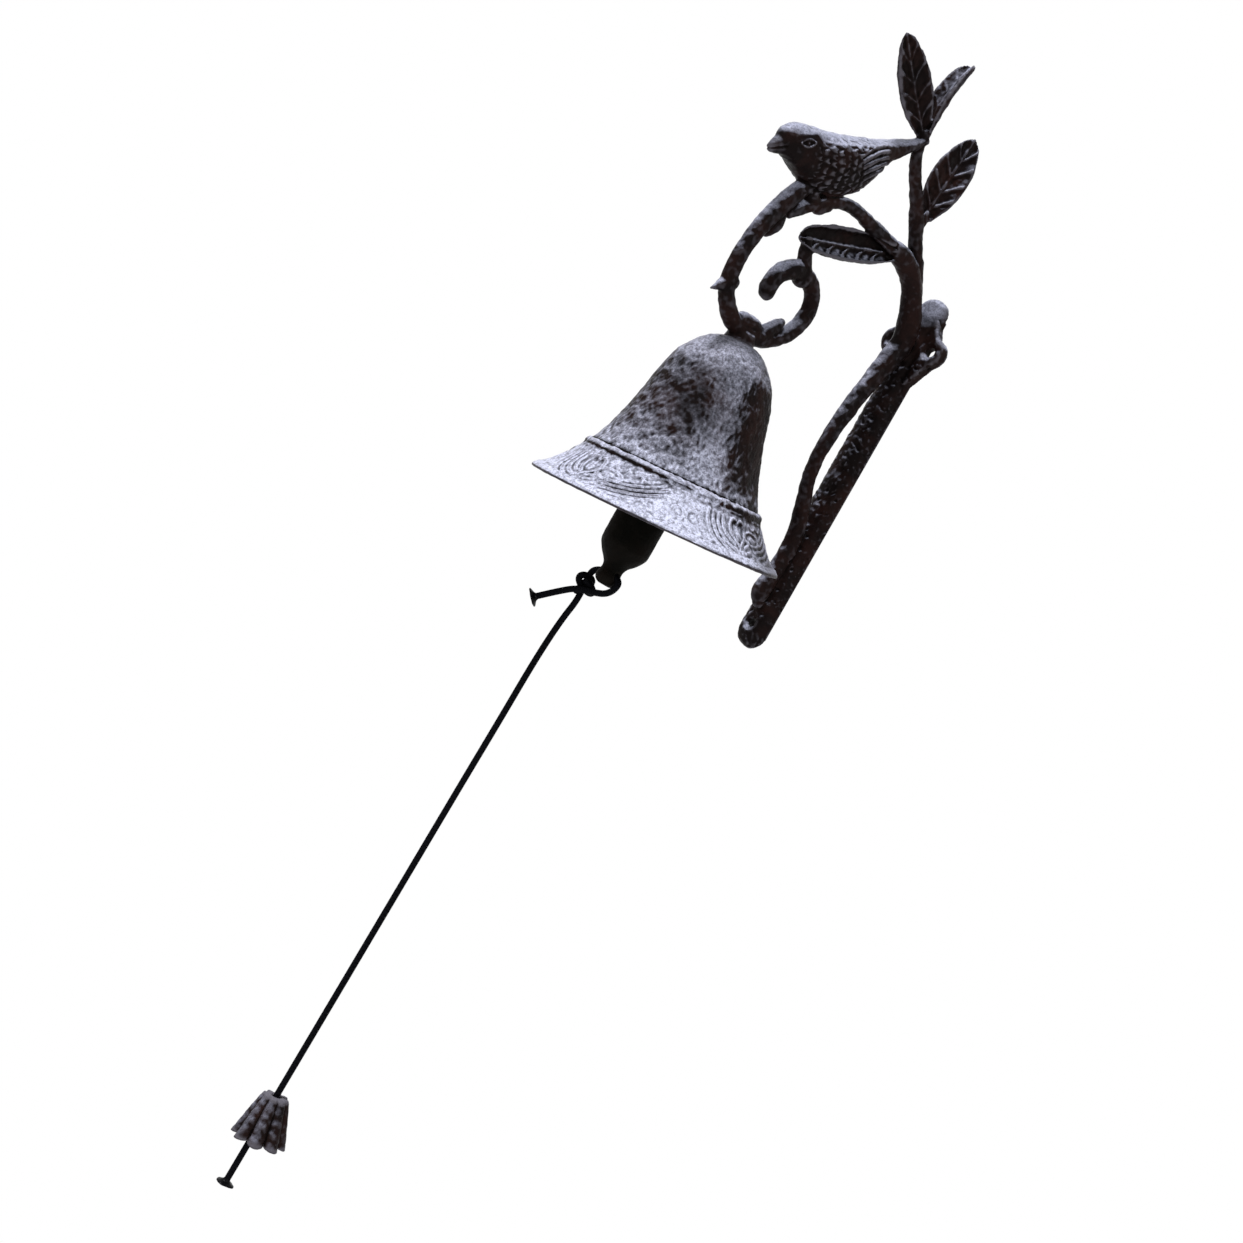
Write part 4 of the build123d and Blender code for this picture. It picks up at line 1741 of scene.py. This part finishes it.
    def build(self) -> bpy.types.Object:
        """Cast the bracket and dress it.

        Returns:
            The bracket's object, which stands for the bracket's solid.
        """
        plate = Shells()
        self.bar(plate)
        self.ears(plate)
        self.knob(plate)
        self.neck_plate(plate)
        drilled = carved(plate.mesh("plate"), self.screw_cutters())
        shells = Shells()
        corners = [tuple(vertex.co) for vertex in drilled.vertices]
        shells.add(np.array(corners), [tuple(face.vertices) for face in drilled.polygons])
        bpy.data.meshes.remove(drilled)
        branches = (self.vine_and_stem, self.arch, self.limb_and_scroll, self.twig)
        for rod in (*branches, *self.short_rods, self.thorn):
            shells.add_rod(rod)
        for leaf in self.leaves:
            leaf.add_to(shells)
        self.bird.add_to(shells)
        bell = Bell()
        shells.add_turned(self.seat, bell.spot(bell.height), bell.up())
        fused = evaluated(shells.mesh("bracket"), "REMESH", mode="VOXEL", voxel_size=self.voxel)
        skin = Skin(fused)
        skin.relax(self.relax_rounds)
        skin.soften(self.bird.neck(skin.points), self.neck_rounds)
        normals = skin.normals()
        heights = self.bird.plumage(skin.points)
        for leaf in self.leaves:
            heights += leaf.veins(skin.points, normals)
        skin.lift(heights)
        skin.lift(self.cast_skin(skin.points))
        skin = skin.thinned(self.triangles)
        piece = skin.piece("bracket_casting", BRACKET_IRON, Slot.BRACKET, Body.FRAME)
        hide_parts("bracket")
        return piece

    def cast_skin(self, points: np.ndarray) -> np.ndarray:
        """Return the unevenness of the cast surface, with pits on the wall bar.

        Args:
            points: Places in millimetres, one to a row.

        Returns:
            One height in millimetres for each place.
        """
        on_bar = window(points[:, 1], -8.0, 1.0, 1.0) * window(points[:, 2], -150.0, -6.0, 3.0)
        flat_back = window(points[:, 1], -0.35, 1.0, 0.3)
        height = cast_lumps(points, self.skin_lumps)
        pits = np.clip(lumps(points, 2.3, 4.0) - 0.35, 0, 1)
        grains = np.clip(lumps(points, 1.7, 6.0) - 0.2, 0, 1)
        height += on_bar * (self.grain_height * grains - self.pit_depth * pits)
        return height * (1 - flat_back)


@dataclass(frozen=True)
class Festoon:
    """The low ornament of the bell's band, which repeats from swag to swag.

    Along is measured round the band from the middle of a swag, and across down from the ridge.
    """

    swags: int = 4
    half_swag: float = 35.3
    band_width: float = 19.0
    relief: float = 0.6
    sink: float = 0.25
    garland_start: float = 10.7
    garland_fall: Row = (12.4, 0.12, 0.012)
    garland_reach: Row = (1.0, 23.0, 3.0)
    garland_strokes: Rows = ((-4.4, 0.45), (-2.2, 0.8), (0.0, 1.0), (2.4, 1.0), (4.7, 0.6))
    garland_width: float = 0.62
    scallop_start: float = 9.0
    scallop_pitch: float = 6.5
    scallop_drop: Row = (1.6, 2.0)
    scallop_along: Row = (10.0, 27.0, 1.5)
    scallop_height: float = 0.7
    oval_at: Row = (10.0, 7.6)
    oval_size: Row = (3.6, 1.7)
    oval_heights: Row = (0.8, 0.7)
    heart_size: Row = (4.6, 4.8)
    heart_across: float = 8.4
    bud_across: float = 8.0
    bud_radius: float = 1.4
    bud_height: float = 0.9
    arc_reaches: Row = (8.6, 11.2, 13.8, 16.4)
    arc_centre: float = 4.5
    arc_across: Row = (2.2, 16.8, 1.0)
    arc_along: Row = (-17.0, 6.5, 1.5)
    arc_from_middle: Row = (3.5, 18.0, 1.5)
    arc_height: float = 0.75
    curls_at: Rows = ((-22.5, 3.4), (-29.0, 2.6))
    curl_across: float = 9.5
    curl_height: float = 0.55
    bead_lift: float = 1.2
    bead_height: float = 0.5

    def height(self, turn: np.ndarray, down: np.ndarray) -> np.ndarray:
        """Return the height of the band's ornament.

        Args:
            turn: The angle round the bell, in radians.
            down: The share of the way from the ridge to the lip.

        Returns:
            One height in millimetres for each point.
        """
        around = turn / (2 * math.pi / self.swags)
        along = (around - np.floor(around + 0.5)) * 2 * self.half_swag
        across = down * self.band_width
        height = self.bead_height * bell_curve(across - self.band_width + self.bead_lift, 0.8)
        for motif in (self.garland, self.scallops, self.oval, self.heart, self.arcs, self.curls):
            height = np.maximum(height, motif(along, across))
        return self.relief * (height - self.sink)

    def garland(self, along: np.ndarray, across: np.ndarray) -> np.ndarray:
        """Return the height of the long hanging strokes.

        Args:
            along: The place along the band, in millimetres.
            across: The place across the band, in millimetres.

        Returns:
            One height for each place, from 0 to 1.
        """
        ahead = along - self.garland_start
        drop, slope, bend = self.garland_fall
        path = drop - slope * ahead - bend * ahead**2
        near, far, soft = self.garland_reach
        height = np.zeros(len(along))
        for lag, strength in self.garland_strokes:
            reach = window(ahead, near + 0.5 * abs(lag), far - abs(lag), soft)
            stroke = bell_curve(across - path - lag, self.garland_width) * reach
            height = np.maximum(height, strength * stroke)
        return height

    def scallops(self, along: np.ndarray, across: np.ndarray) -> np.ndarray:
        """Return the height of the scalloped edge above the garland.

        Args:
            along: The place along the band, in millimetres.
            across: The place across the band, in millimetres.

        Returns:
            One height for each place, from 0 to 1.
        """
        scallop = np.abs(np.sin(math.pi * (along - self.scallop_start) / self.scallop_pitch))
        drop, depth = self.scallop_drop
        edge = bell_curve(across - drop - depth * scallop, 0.55)
        return self.scallop_height * (edge * window(along, *self.scallop_along))

    def oval(self, along: np.ndarray, across: np.ndarray) -> np.ndarray:
        """Return the height of the small oval and the line round it.

        Args:
            along: The place along the band, in millimetres.
            across: The place across the band, in millimetres.

        Returns:
            One height for each place, from 0 to 1.
        """
        lobe = np.hypot(
            (along - self.oval_at[0]) / self.oval_size[0],
            (across - self.oval_at[1]) / self.oval_size[1],
        )
        middle, line = self.oval_heights
        return np.maximum(
            middle * bell_curve(lobe, 0.7), line * bell_curve((lobe - 1.6) * 2.0, 0.6)
        )

    def heart(self, along: np.ndarray, across: np.ndarray) -> np.ndarray:
        """Return the height of the heart's outline and the bud inside it.

        Args:
            along: The place along the band, in millimetres.
            across: The place across the band, in millimetres.

        Returns:
            One height for each place, from 0 to 1.
        """
        aside = np.abs(along) / self.heart_size[0]
        above = (self.heart_across - across) / self.heart_size[1]
        reach = aside**2 + (above - 0.62 * np.sqrt(aside + 1e-4)) ** 2
        outline = bell_curve(np.sqrt(reach) - 1.0, 0.15)
        from_bud = np.hypot(along, across - self.bud_across)
        return np.maximum(outline, self.bud_height * bell_curve(from_bud / self.bud_radius, 1.0))

    def arcs(self, along: np.ndarray, across: np.ndarray) -> np.ndarray:
        """Return the height of the upright strokes beside the heart.

        Args:
            along: The place along the band, in millimetres.
            across: The place across the band, in millimetres.

        Returns:
            One height for each place, from 0 to 1.
        """
        ring = np.hypot(along, (across - self.arc_centre) * 1.05)
        here = window(along, *self.arc_along) * window(np.abs(along), *self.arc_from_middle)
        height = np.zeros(len(along))
        for reach in self.arc_reaches:
            arc = bell_curve(ring - reach, 0.6) * window(across, *self.arc_across)
            height = np.maximum(height, self.arc_height * arc * here)
        return height

    def curls(self, along: np.ndarray, across: np.ndarray) -> np.ndarray:
        """Return the height of the two curls between the swags.

        Args:
            along: The place along the band, in millimetres.
            across: The place across the band, in millimetres.

        Returns:
            One height for each place, from 0 to 1.
        """
        height = np.zeros(len(along))
        for middle, reach in self.curls_at:
            curl = np.hypot(along - middle, across - self.curl_across)
            swirl = bell_curve(curl - reach, 0.55) + bell_curve(curl / 1.1, 1.0)
            height = np.maximum(height, self.curl_height * swirl)
        return height


@dataclass
class Bell:
    """The bell: a turned iron casting with a pebbled skin and a festooned band."""

    height: float = 76.2
    tilt: float = 6.7
    crown_depth: float = 94.2
    crown_height: float = -45.0
    hole_radius: float = 2.8
    hole_rises: Row = (71.6, 73.7, 76.2)
    outer: Rows = (
        (6.0, 76.2),
        (8.8, 75.4),
        (13.9, 72.0),
        (20.0, 64.0),
        (23.4, 54.4),
        (25.1, 47.6),
        (27.7, 38.4),
        (31.0, 28.4),
        (35.0, 19.8),
    )
    ridge: Rows = (
        (35.0, 19.8),
        (36.2, 19.5),
        (37.0, 18.9),
        (37.4, 18.0),
        (37.5, 17.0),
        (38.0, 15.9),
    )
    band: Rows = ((38.0, 15.9), (41.2, 11.3), (44.6, 7.6), (48.4, 4.2), (51.9, 1.6))
    lip: Rows = ((51.9, 1.6), (52.3, 0.9), (52.2, 0.3), (51.7, 0.0), (50.4, -0.05), (49.2, 0.0))
    inner: Rows = (
        (49.2, 0.0),
        (42.2, 5.4),
        (33.5, 17.4),
        (27.8, 28.0),
        (24.2, 38.2),
        (21.3, 47.2),
        (19.3, 53.7),
        (16.2, 62.7),
        (11.8, 69.4),
        (8.4, 71.6),
    )
    festoon: Festoon = Festoon()
    festoon_along: Row = (0.04, 0.97, 0.03)
    body_lumps: Rows = ((0.26, 4.8, 9.0), (0.17, 2.3, 10.0), (0.13, 1.3, 11.0))
    body_radii: Row = (7.6, 99.0, 1.2)
    crown_lumps: Rows = ((0.25, 7.0, 12.0),)
    crown_rises: Row = (66.0, 80.0, 4.0)
    band_lumps: Rows = ((0.12, 2.2, 13.0), (0.08, 4.4, 14.0))
    lip_lumps: Rows = ((0.14, 3.0, 15.0),)
    lip_sink: float = 0.1
    segments: int = 420

    def up(self) -> np.ndarray:
        """Return the bell's own upward direction."""
        tilt = math.radians(self.tilt)
        return place(math.sin(tilt), math.cos(tilt))

    def spot(self, rise: float) -> np.ndarray:
        """Return the point on the bell's axis at a height above its mouth."""
        crown = place(self.crown_depth, self.crown_height)
        return crown - self.up() * (self.height - rise)

    def profile(self) -> tuple[list[BellZone], np.ndarray]:
        """Return the zone and the radius and rise of each ring, from the crown round.

        Returns:
            The zones, and the rows of radius and rise.
        """
        stretches = (
            (BellZone.BODY, self.outer, 0.75),
            (BellZone.RIDGE, self.ridge, 0.5),
            (BellZone.BAND, self.band, 0.55),
            (BellZone.LIP, self.lip, 0.7),
            (BellZone.INSIDE, self.inner, 2.2),
        )
        zones = []
        rows = []
        for zone, stations, spacing in stretches:
            chain = smooth_chain(stations, spacing)[:-1]
            zones += [zone] * len(chain)
            rows += list(chain)
        zones.append(BellZone.INSIDE)
        rows.append(np.array(self.inner[-1]))
        for rise in self.hole_rises:
            zones.append(BellZone.HOLE)
            rows.append(np.array((self.hole_radius, rise)))
        return zones, np.array(rows)

    def build(self) -> bpy.types.Object:
        """Turn the bell, raise its skin and band, and dress it.

        Returns:
            The bell's object, which stands for the bell's solid.
        """
        zones, rows = self.profile()
        turn = np.linspace(0, 2 * math.pi, self.segments, endpoint=False)
        aside = np.cross(self.up(), RIGHT)
        circle = np.outer(np.cos(turn), RIGHT) + np.outer(np.sin(turn), aside)
        rings = [self.spot(rise) + radius * circle for radius, rise in rows]
        shells = Shells()
        shells.add_rings(rings, closed=True)
        skin = Skin(shells.mesh("bell"))
        skin.lift(self.cast_skin(skin.points, zones, rows, turn))
        piece = skin.piece("bell_casting", BELL_IRON, Slot.BELL, Body.FRAME)
        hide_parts("bell")
        return piece

    def cast_skin(
        self, points: np.ndarray, zones: list[BellZone], rows: np.ndarray, turn: np.ndarray
    ) -> np.ndarray:
        """Return the unevenness of the cast surface and the band's ornament.

        Args:
            points: Places in millimetres, one to a row.
            zones: The zone of each ring.
            rows: The radius and rise of each ring.
            turn: The angles of the points round one ring, in radians.

        Returns:
            One height in millimetres for each place.
        """
        outside = self.on(zones, (BellZone.BODY, BellZone.RIDGE))
        radii = np.repeat(rows[:, 0], self.segments)
        rises = np.repeat(rows[:, 1], self.segments)
        body = cast_lumps(points, self.body_lumps) * window(radii, *self.body_radii)
        crown = cast_lumps(points, self.crown_lumps) * window(rises, *self.crown_rises)
        height = np.where(outside, body + crown, 0.0)
        in_band = [index for index, zone in enumerate(zones) if zone is BellZone.BAND]
        down = np.zeros(len(zones))
        down[in_band] = np.linspace(0, 1, len(in_band))
        down = np.repeat(down, self.segments)
        ornament = self.festoon.height(np.tile(turn, len(zones)), down)
        ornament = ornament * window(down, *self.festoon_along)
        ornament = ornament + cast_lumps(points, self.band_lumps)
        height = np.where(self.on(zones, (BellZone.BAND,)), ornament, height)
        lip = cast_lumps(points, self.lip_lumps) - self.lip_sink
        return np.where(self.on(zones, (BellZone.LIP,)), lip, height)

    def on(self, zones: list[BellZone], wanted: tuple[BellZone, ...]) -> np.ndarray:
        """Return, for each point of the skin, whether it lies on one of the wanted zones."""
        return np.repeat([zone in wanted for zone in zones], self.segments)


@dataclass
class Clapper:
    """The clapper: a turned iron weight on a shank, with a ring at its top."""

    depth: float = 92.1
    pivot_height: float = -64.2271
    length: float = 87.4
    ring_radius: float = 4.4
    wire_radius: float = 1.7
    hole_rise: float = 5.0
    hole_radius: float = 1.5
    drill_reach: float = 9.0
    ring_steps: int = 56
    wire_steps: int = 20
    skin_lumps: Rows = ((0.14, 3.4, 21.0),)
    skin_sink: float = 0.05
    skin_along: Row = (8.0, 74.0, 3.0)
    profile: Rows = (
        (0.0, 0.0),
        (1.6, 0.0),
        (2.6, 0.1),
        (4.1, 1.0),
        (4.9, 2.6),
        (4.8, 4.2),
        (4.3, 6.0),
        (4.5, 7.8),
        (5.4, 9.4),
        (7.2, 11.4),
        (8.8, 13.6),
        (9.8, 15.6),
        (10.1, 17.6),
        (10.1, 22.0),
        (10.1, 27.0),
        (10.1, 31.0),
        (9.2, 35.4),
        (7.6, 40.5),
        (5.8, 44.6),
        (4.2, 48.5),
        (3.3, 52.0),
        (3.0, 56.0),
        (3.0, 66.0),
        (3.0, 76.0),
        (2.6, 78.2),
        (0.0, 78.6),
    )

    def build(self) -> bpy.types.Object:
        """Turn the weight, drill the cord's hole, add the ring, and dress it.

        Returns:
            The clapper's object, which stands for the clapper's solid.
        """
        foot = place(self.depth, self.pivot_height - self.length)
        upward = np.array((0.0, 0.0, 1.0))
        solid = Shells()
        rows = tuple((float(r), float(z)) for r, z in smooth_chain(self.profile, 1.4))
        solid.add_turned(rows, foot, upward, sides=64)
        self.ring(solid)
        cutter = Shells()
        hole = ((self.hole_radius, -self.drill_reach), (self.hole_radius, self.drill_reach))
        cutter.add_turned(hole, foot + upward * self.hole_rise, np.array(RIGHT), sides=32)
        drilled = carved(solid.mesh("clapper"), cutter)
        skin = Skin(evaluated(drilled, "SUBSURF", levels=1, subdivision_type="SIMPLE"))
        calm = window(skin.points[:, 2] - foot[2], *self.skin_along)
        skin.lift(calm * (cast_lumps(skin.points, self.skin_lumps) - self.skin_sink))
        piece = skin.piece("clapper_casting", CLAPPER_IRON, Slot.CLAPPER, Body.CLAPPER)
        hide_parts("clapper")
        return piece

    def ring(self, shells: Shells) -> None:
        """Add the ring that hangs in the eye of the bolt.

        Args:
            shells: The shells that the ring joins.
        """
        centre = place(self.depth, self.pivot_height - self.ring_radius)
        across = np.linspace(0, 2 * math.pi, self.wire_steps, endpoint=False)
        rings = []
        for angle in np.linspace(0, 2 * math.pi, self.ring_steps, endpoint=False):
            outward = np.array((math.cos(angle), 0.0, math.sin(angle)))
            wire = np.outer(np.cos(across), outward) + np.outer(np.sin(across), (0.0, 1.0, 0.0))
            rings.append(centre + self.ring_radius * outward + self.wire_radius * wire)
        shells.add_rings(rings, closed=True)


@dataclass
class Pull:
    """The ribbed iron pull, threaded on the cord above its stop knot."""

    top: Row = (95.844, -386.4, -12.57)
    tilt: float = 7.0
    tilt_heading: float = 44.0
    height: float = 18.6
    radius: float = 11.3
    top_share: float = 0.46
    ribs: int = 8
    mouth_radius: float = 8.3
    roof: float = 3.0
    hole_radius: float = 1.7
    knot_radius: float = 3.0
    knot_room: float = 0.9
    rib_steps: int = 20
    outer_rows: int = 30
    groove: Row = (0.16, 0.12)
    scallop: float = 0.9
    shoulder: float = 0.4
    hole_edge: float = 0.8
    skin_lumps: Rows = ((0.2, 2.6, 31.0), (0.1, 1.2, 32.0))

    def up(self) -> np.ndarray:
        """Return the direction that the pull leans in.

        Returns:
            A direction of length one.
        """
        lean = math.radians(self.tilt)
        heading = math.radians(self.tilt_heading)
        aside = -math.sin(lean)
        return np.array((aside * math.cos(heading), aside * math.sin(heading), math.cos(lean)))

    def build(self) -> bpy.types.Object:
        """Build the ribbed shell and dress it.

        Returns:
            The pull's object, which stands for the pull's solid.
        """
        up = self.up()
        top = place(*self.top)
        first = unit(np.cross(up, (0.0, 1.0, 0.0)))
        second = np.cross(up, first)
        turn = np.linspace(0, 2 * math.pi, self.ribs * self.rib_steps, endpoint=False)
        circle = np.outer(np.cos(turn), first) + np.outer(np.sin(turn), second)
        lobe = np.abs(np.cos(self.ribs * turn / 2)) ** 0.75
        rings = []
        for radius, drop in (*self.outside(lobe), *self.inside(lobe)):
            rings.append(top + radius[:, None] * circle - drop[:, None] * up)
        shells = Shells()
        shells.add_rings(rings, closed=True)
        skin = Skin(shells.mesh("pull"))
        outer = np.arange(len(skin.points)) < self.outer_rows * len(turn)
        skin.lift(np.where(outer, cast_lumps(skin.points, self.skin_lumps), 0))
        piece = skin.piece("pull_casting", PULL_IRON, Slot.PULL, Body.CORD)
        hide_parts("pull")
        return piece

    def outside(self, lobe: np.ndarray) -> list[tuple[np.ndarray, np.ndarray]]:
        """Return the radius and drop of each ring of the ribbed outside, from the top down.

        Args:
            lobe: How far each point round the pull stands on a rib, from 0 to 1.

        Returns:
            Pairs of a radius and a drop for each point round the pull.
        """
        rows = []
        for share in np.linspace(0, 1, self.outer_rows):
            wide = self.radius * (self.top_share + (1 - self.top_share) * share**0.92)
            groove = self.groove[0] + self.groove[1] * share
            radius = wide * (1 - groove + groove * lobe)
            drop = share * (self.height - self.scallop * (1 - lobe))
            drop = drop + self.shoulder * (1 - lobe) * (1 - share)
            rows.append((radius, drop))
        return rows

    def inside(self, lobe: np.ndarray) -> list[tuple[np.ndarray, np.ndarray]]:
        """Return the radius and drop of each ring of the hollow and the hole, upward.

        Args:
            lobe: How far each point round the pull stands on a rib, from 0 to 1.

        Returns:
            Pairs of a radius and a drop for each point round the pull.
        """
        flat = np.ones(len(lobe))
        rows = []
        reach = self.mouth_radius - self.knot_radius - self.knot_room
        for share in (0.98, 0.7, 0.4, 0.1):
            radius = self.knot_radius + self.knot_room + reach * share
            drop = (self.roof + (self.height - self.roof) * share) * flat
            if share > 0.9:
                drop = drop - self.scallop * (1 - lobe)
            rows.append((radius * flat, drop))
        hole = (
            (2 * self.hole_radius, self.roof),
            (self.hole_radius, self.roof),
            (self.hole_radius, self.shoulder),
            (self.hole_radius + self.hole_edge, -0.1),
        )
        for radius, drop in hole:
            rows.append((radius * flat, drop * flat))
        return rows


@dataclass
class Hardware:
    """The eye bolt, washer, nut and stop knot, whose solids already have the right shape."""

    def build(self) -> None:
        """Dress the solids that stay."""
        for node in ("eye_bolt", "washer", "nut"):
            self.dress(node, BOLT_STEEL.material())
        self.dress("stop_knot", BLACK_CORD.material())

    def dress(self, node: str, material: bpy.types.Material) -> None:
        """Give one solid its material in every slot.

        Args:
            node: The name of the solid.
            material: The material to give it.
        """
        solid = bpy.data.objects[node]
        if not solid.material_slots:
            solid.data.materials.append(material)
        for entry in solid.material_slots:
            entry.material = material
        LOG.info("%s keeps its solid", node)


@dataclass(frozen=True)
class Lamp:
    """One soft far lamp: where it stands, its power, its width in degrees and its colour."""

    name: str
    direction: Row
    power: float
    width: float
    colour: Row

    def build(self) -> None:
        """Hang the lamp."""
        data = bpy.data.lights.new(self.name, "SUN")
        data.energy = self.power
        data.angle = math.radians(self.width)
        data.color = self.colour
        lamp = bpy.data.objects.new(self.name, data)
        lamp.rotation_euler = Vector(self.direction).to_track_quat("Z", "Y").to_euler()
        bpy.context.scene.collection.objects.link(lamp)


@dataclass
class Studio:
    """A plain pale floor and plain soft light from above and the right."""

    floor_height: float = -1.5
    floor_reach: float = 9.0
    lamps: tuple[Lamp, ...] = (
        Lamp("overhead_lamp", (-0.16, -0.42, 0.89), 3.3, 12.0, (0.9, 0.92, 1.0)),
        Lamp("side_lamp", (0.84, -0.2, 0.5), 1.1, 12.0, (0.88, 0.92, 1.0)),
    )
    fill_level: float = 0.09
    fill_colour: Row = (1.0, 0.95, 0.93)

    def build(self) -> None:
        """Build the floor, the lamps and the world."""
        self.floor()
        for lamp in self.lamps:
            lamp.build()
        self.world()

    def floor(self) -> None:
        """Lay the floor, far below the wall-hung object."""
        reach = self.floor_reach
        sides = ((-reach, -reach), (reach, -reach), (reach, reach), (-reach, reach))
        corners = [(x, y, self.floor_height) for x, y in sides]
        mesh = bpy.data.meshes.new("studio_floor")
        mesh.from_pydata(corners, [], [(0, 1, 2, 3)])
        floor = bpy.data.objects.new("studio_floor", mesh)
        bpy.context.scene.collection.objects.link(floor)
        sheet = NodeSheet("studio_floor_white")
        light = sheet.add("ShaderNodeLightPath")
        matt = sheet.add("ShaderNodeBsdfDiffuse", Color=(0.9, 0.9, 0.9, 1.0))
        glow = sheet.add("ShaderNodeEmission", Color=(1.0, 1.0, 1.0, 1.0), Strength=1.0)
        seen = self.seen_rays(sheet.tree, light)
        mix = sheet.add("ShaderNodeMixShader")
        sheet.join(seen, mix.inputs[0])
        sheet.join(matt.outputs["BSDF"], mix.inputs[1])
        sheet.join(glow.outputs["Emission"], mix.inputs[2])
        output = sheet.add("ShaderNodeOutputMaterial")
        sheet.join(mix.outputs["Shader"], output.inputs["Surface"])
        mesh.materials.append(sheet.material)
        floor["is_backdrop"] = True

    def seen_rays(self, tree: bpy.types.NodeTree, light: bpy.types.Node) -> bpy.types.NodeSocket:
        """Return 1 for camera, glossy and transmission rays, and 0 for the rest.

        Args:
            tree: The node tree to add to.
            light: Its light path node.

        Returns:
            The socket that holds the 1 or the 0.
        """
        seen = light.outputs["Is Camera Ray"]
        for ray in ("Is Glossy Ray", "Is Transmission Ray"):
            either = tree.nodes.new("ShaderNodeMath")
            either.operation = "MAXIMUM"
            tree.links.new(seen, either.inputs[0])
            tree.links.new(light.outputs[ray], either.inputs[1])
            seen = either.outputs["Value"]
        return seen

    def world(self) -> None:
        """Set the world: white to look at, and a plain fill for the object."""
        world = bpy.data.worlds.new("studio_world")
        world.use_nodes = True
        tree = world.node_tree
        tree.nodes.clear()
        light = tree.nodes.new("ShaderNodeLightPath")
        fill = tree.nodes.new("ShaderNodeBackground")
        fill.inputs["Color"].default_value = (*self.fill_colour, 1.0)
        fill.inputs["Strength"].default_value = self.fill_level
        white = tree.nodes.new("ShaderNodeBackground")
        white.inputs["Color"].default_value = (1.0, 1.0, 1.0, 1.0)
        mix = tree.nodes.new("ShaderNodeMixShader")
        output = tree.nodes.new("ShaderNodeOutputWorld")
        tree.links.new(self.seen_rays(tree, light), mix.inputs[0])
        tree.links.new(fill.outputs["Background"], mix.inputs[1])
        tree.links.new(white.outputs["Background"], mix.inputs[2])
        tree.links.new(mix.outputs["Shader"], output.inputs["Surface"])
        bpy.context.scene.world = world


def main() -> None:
    """Load the frame, build every piece in order and log each mesh's face count."""
    logging.basicConfig(level=logging.INFO, format="%(message)s")
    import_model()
    bpy.context.scene.view_settings.view_transform = "Standard"
    PhotoCamera().build()
    Cordage().build()
    Bracket().build()
    Bell().build()
    Clapper().build()
    Pull().build()
    Hardware().build()
    Studio().build()
    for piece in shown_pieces():
        if piece.type == "MESH":
            LOG.info("%s has %d faces", piece.name, len(piece.data.polygons))


if __name__ == "__main__":
    main()
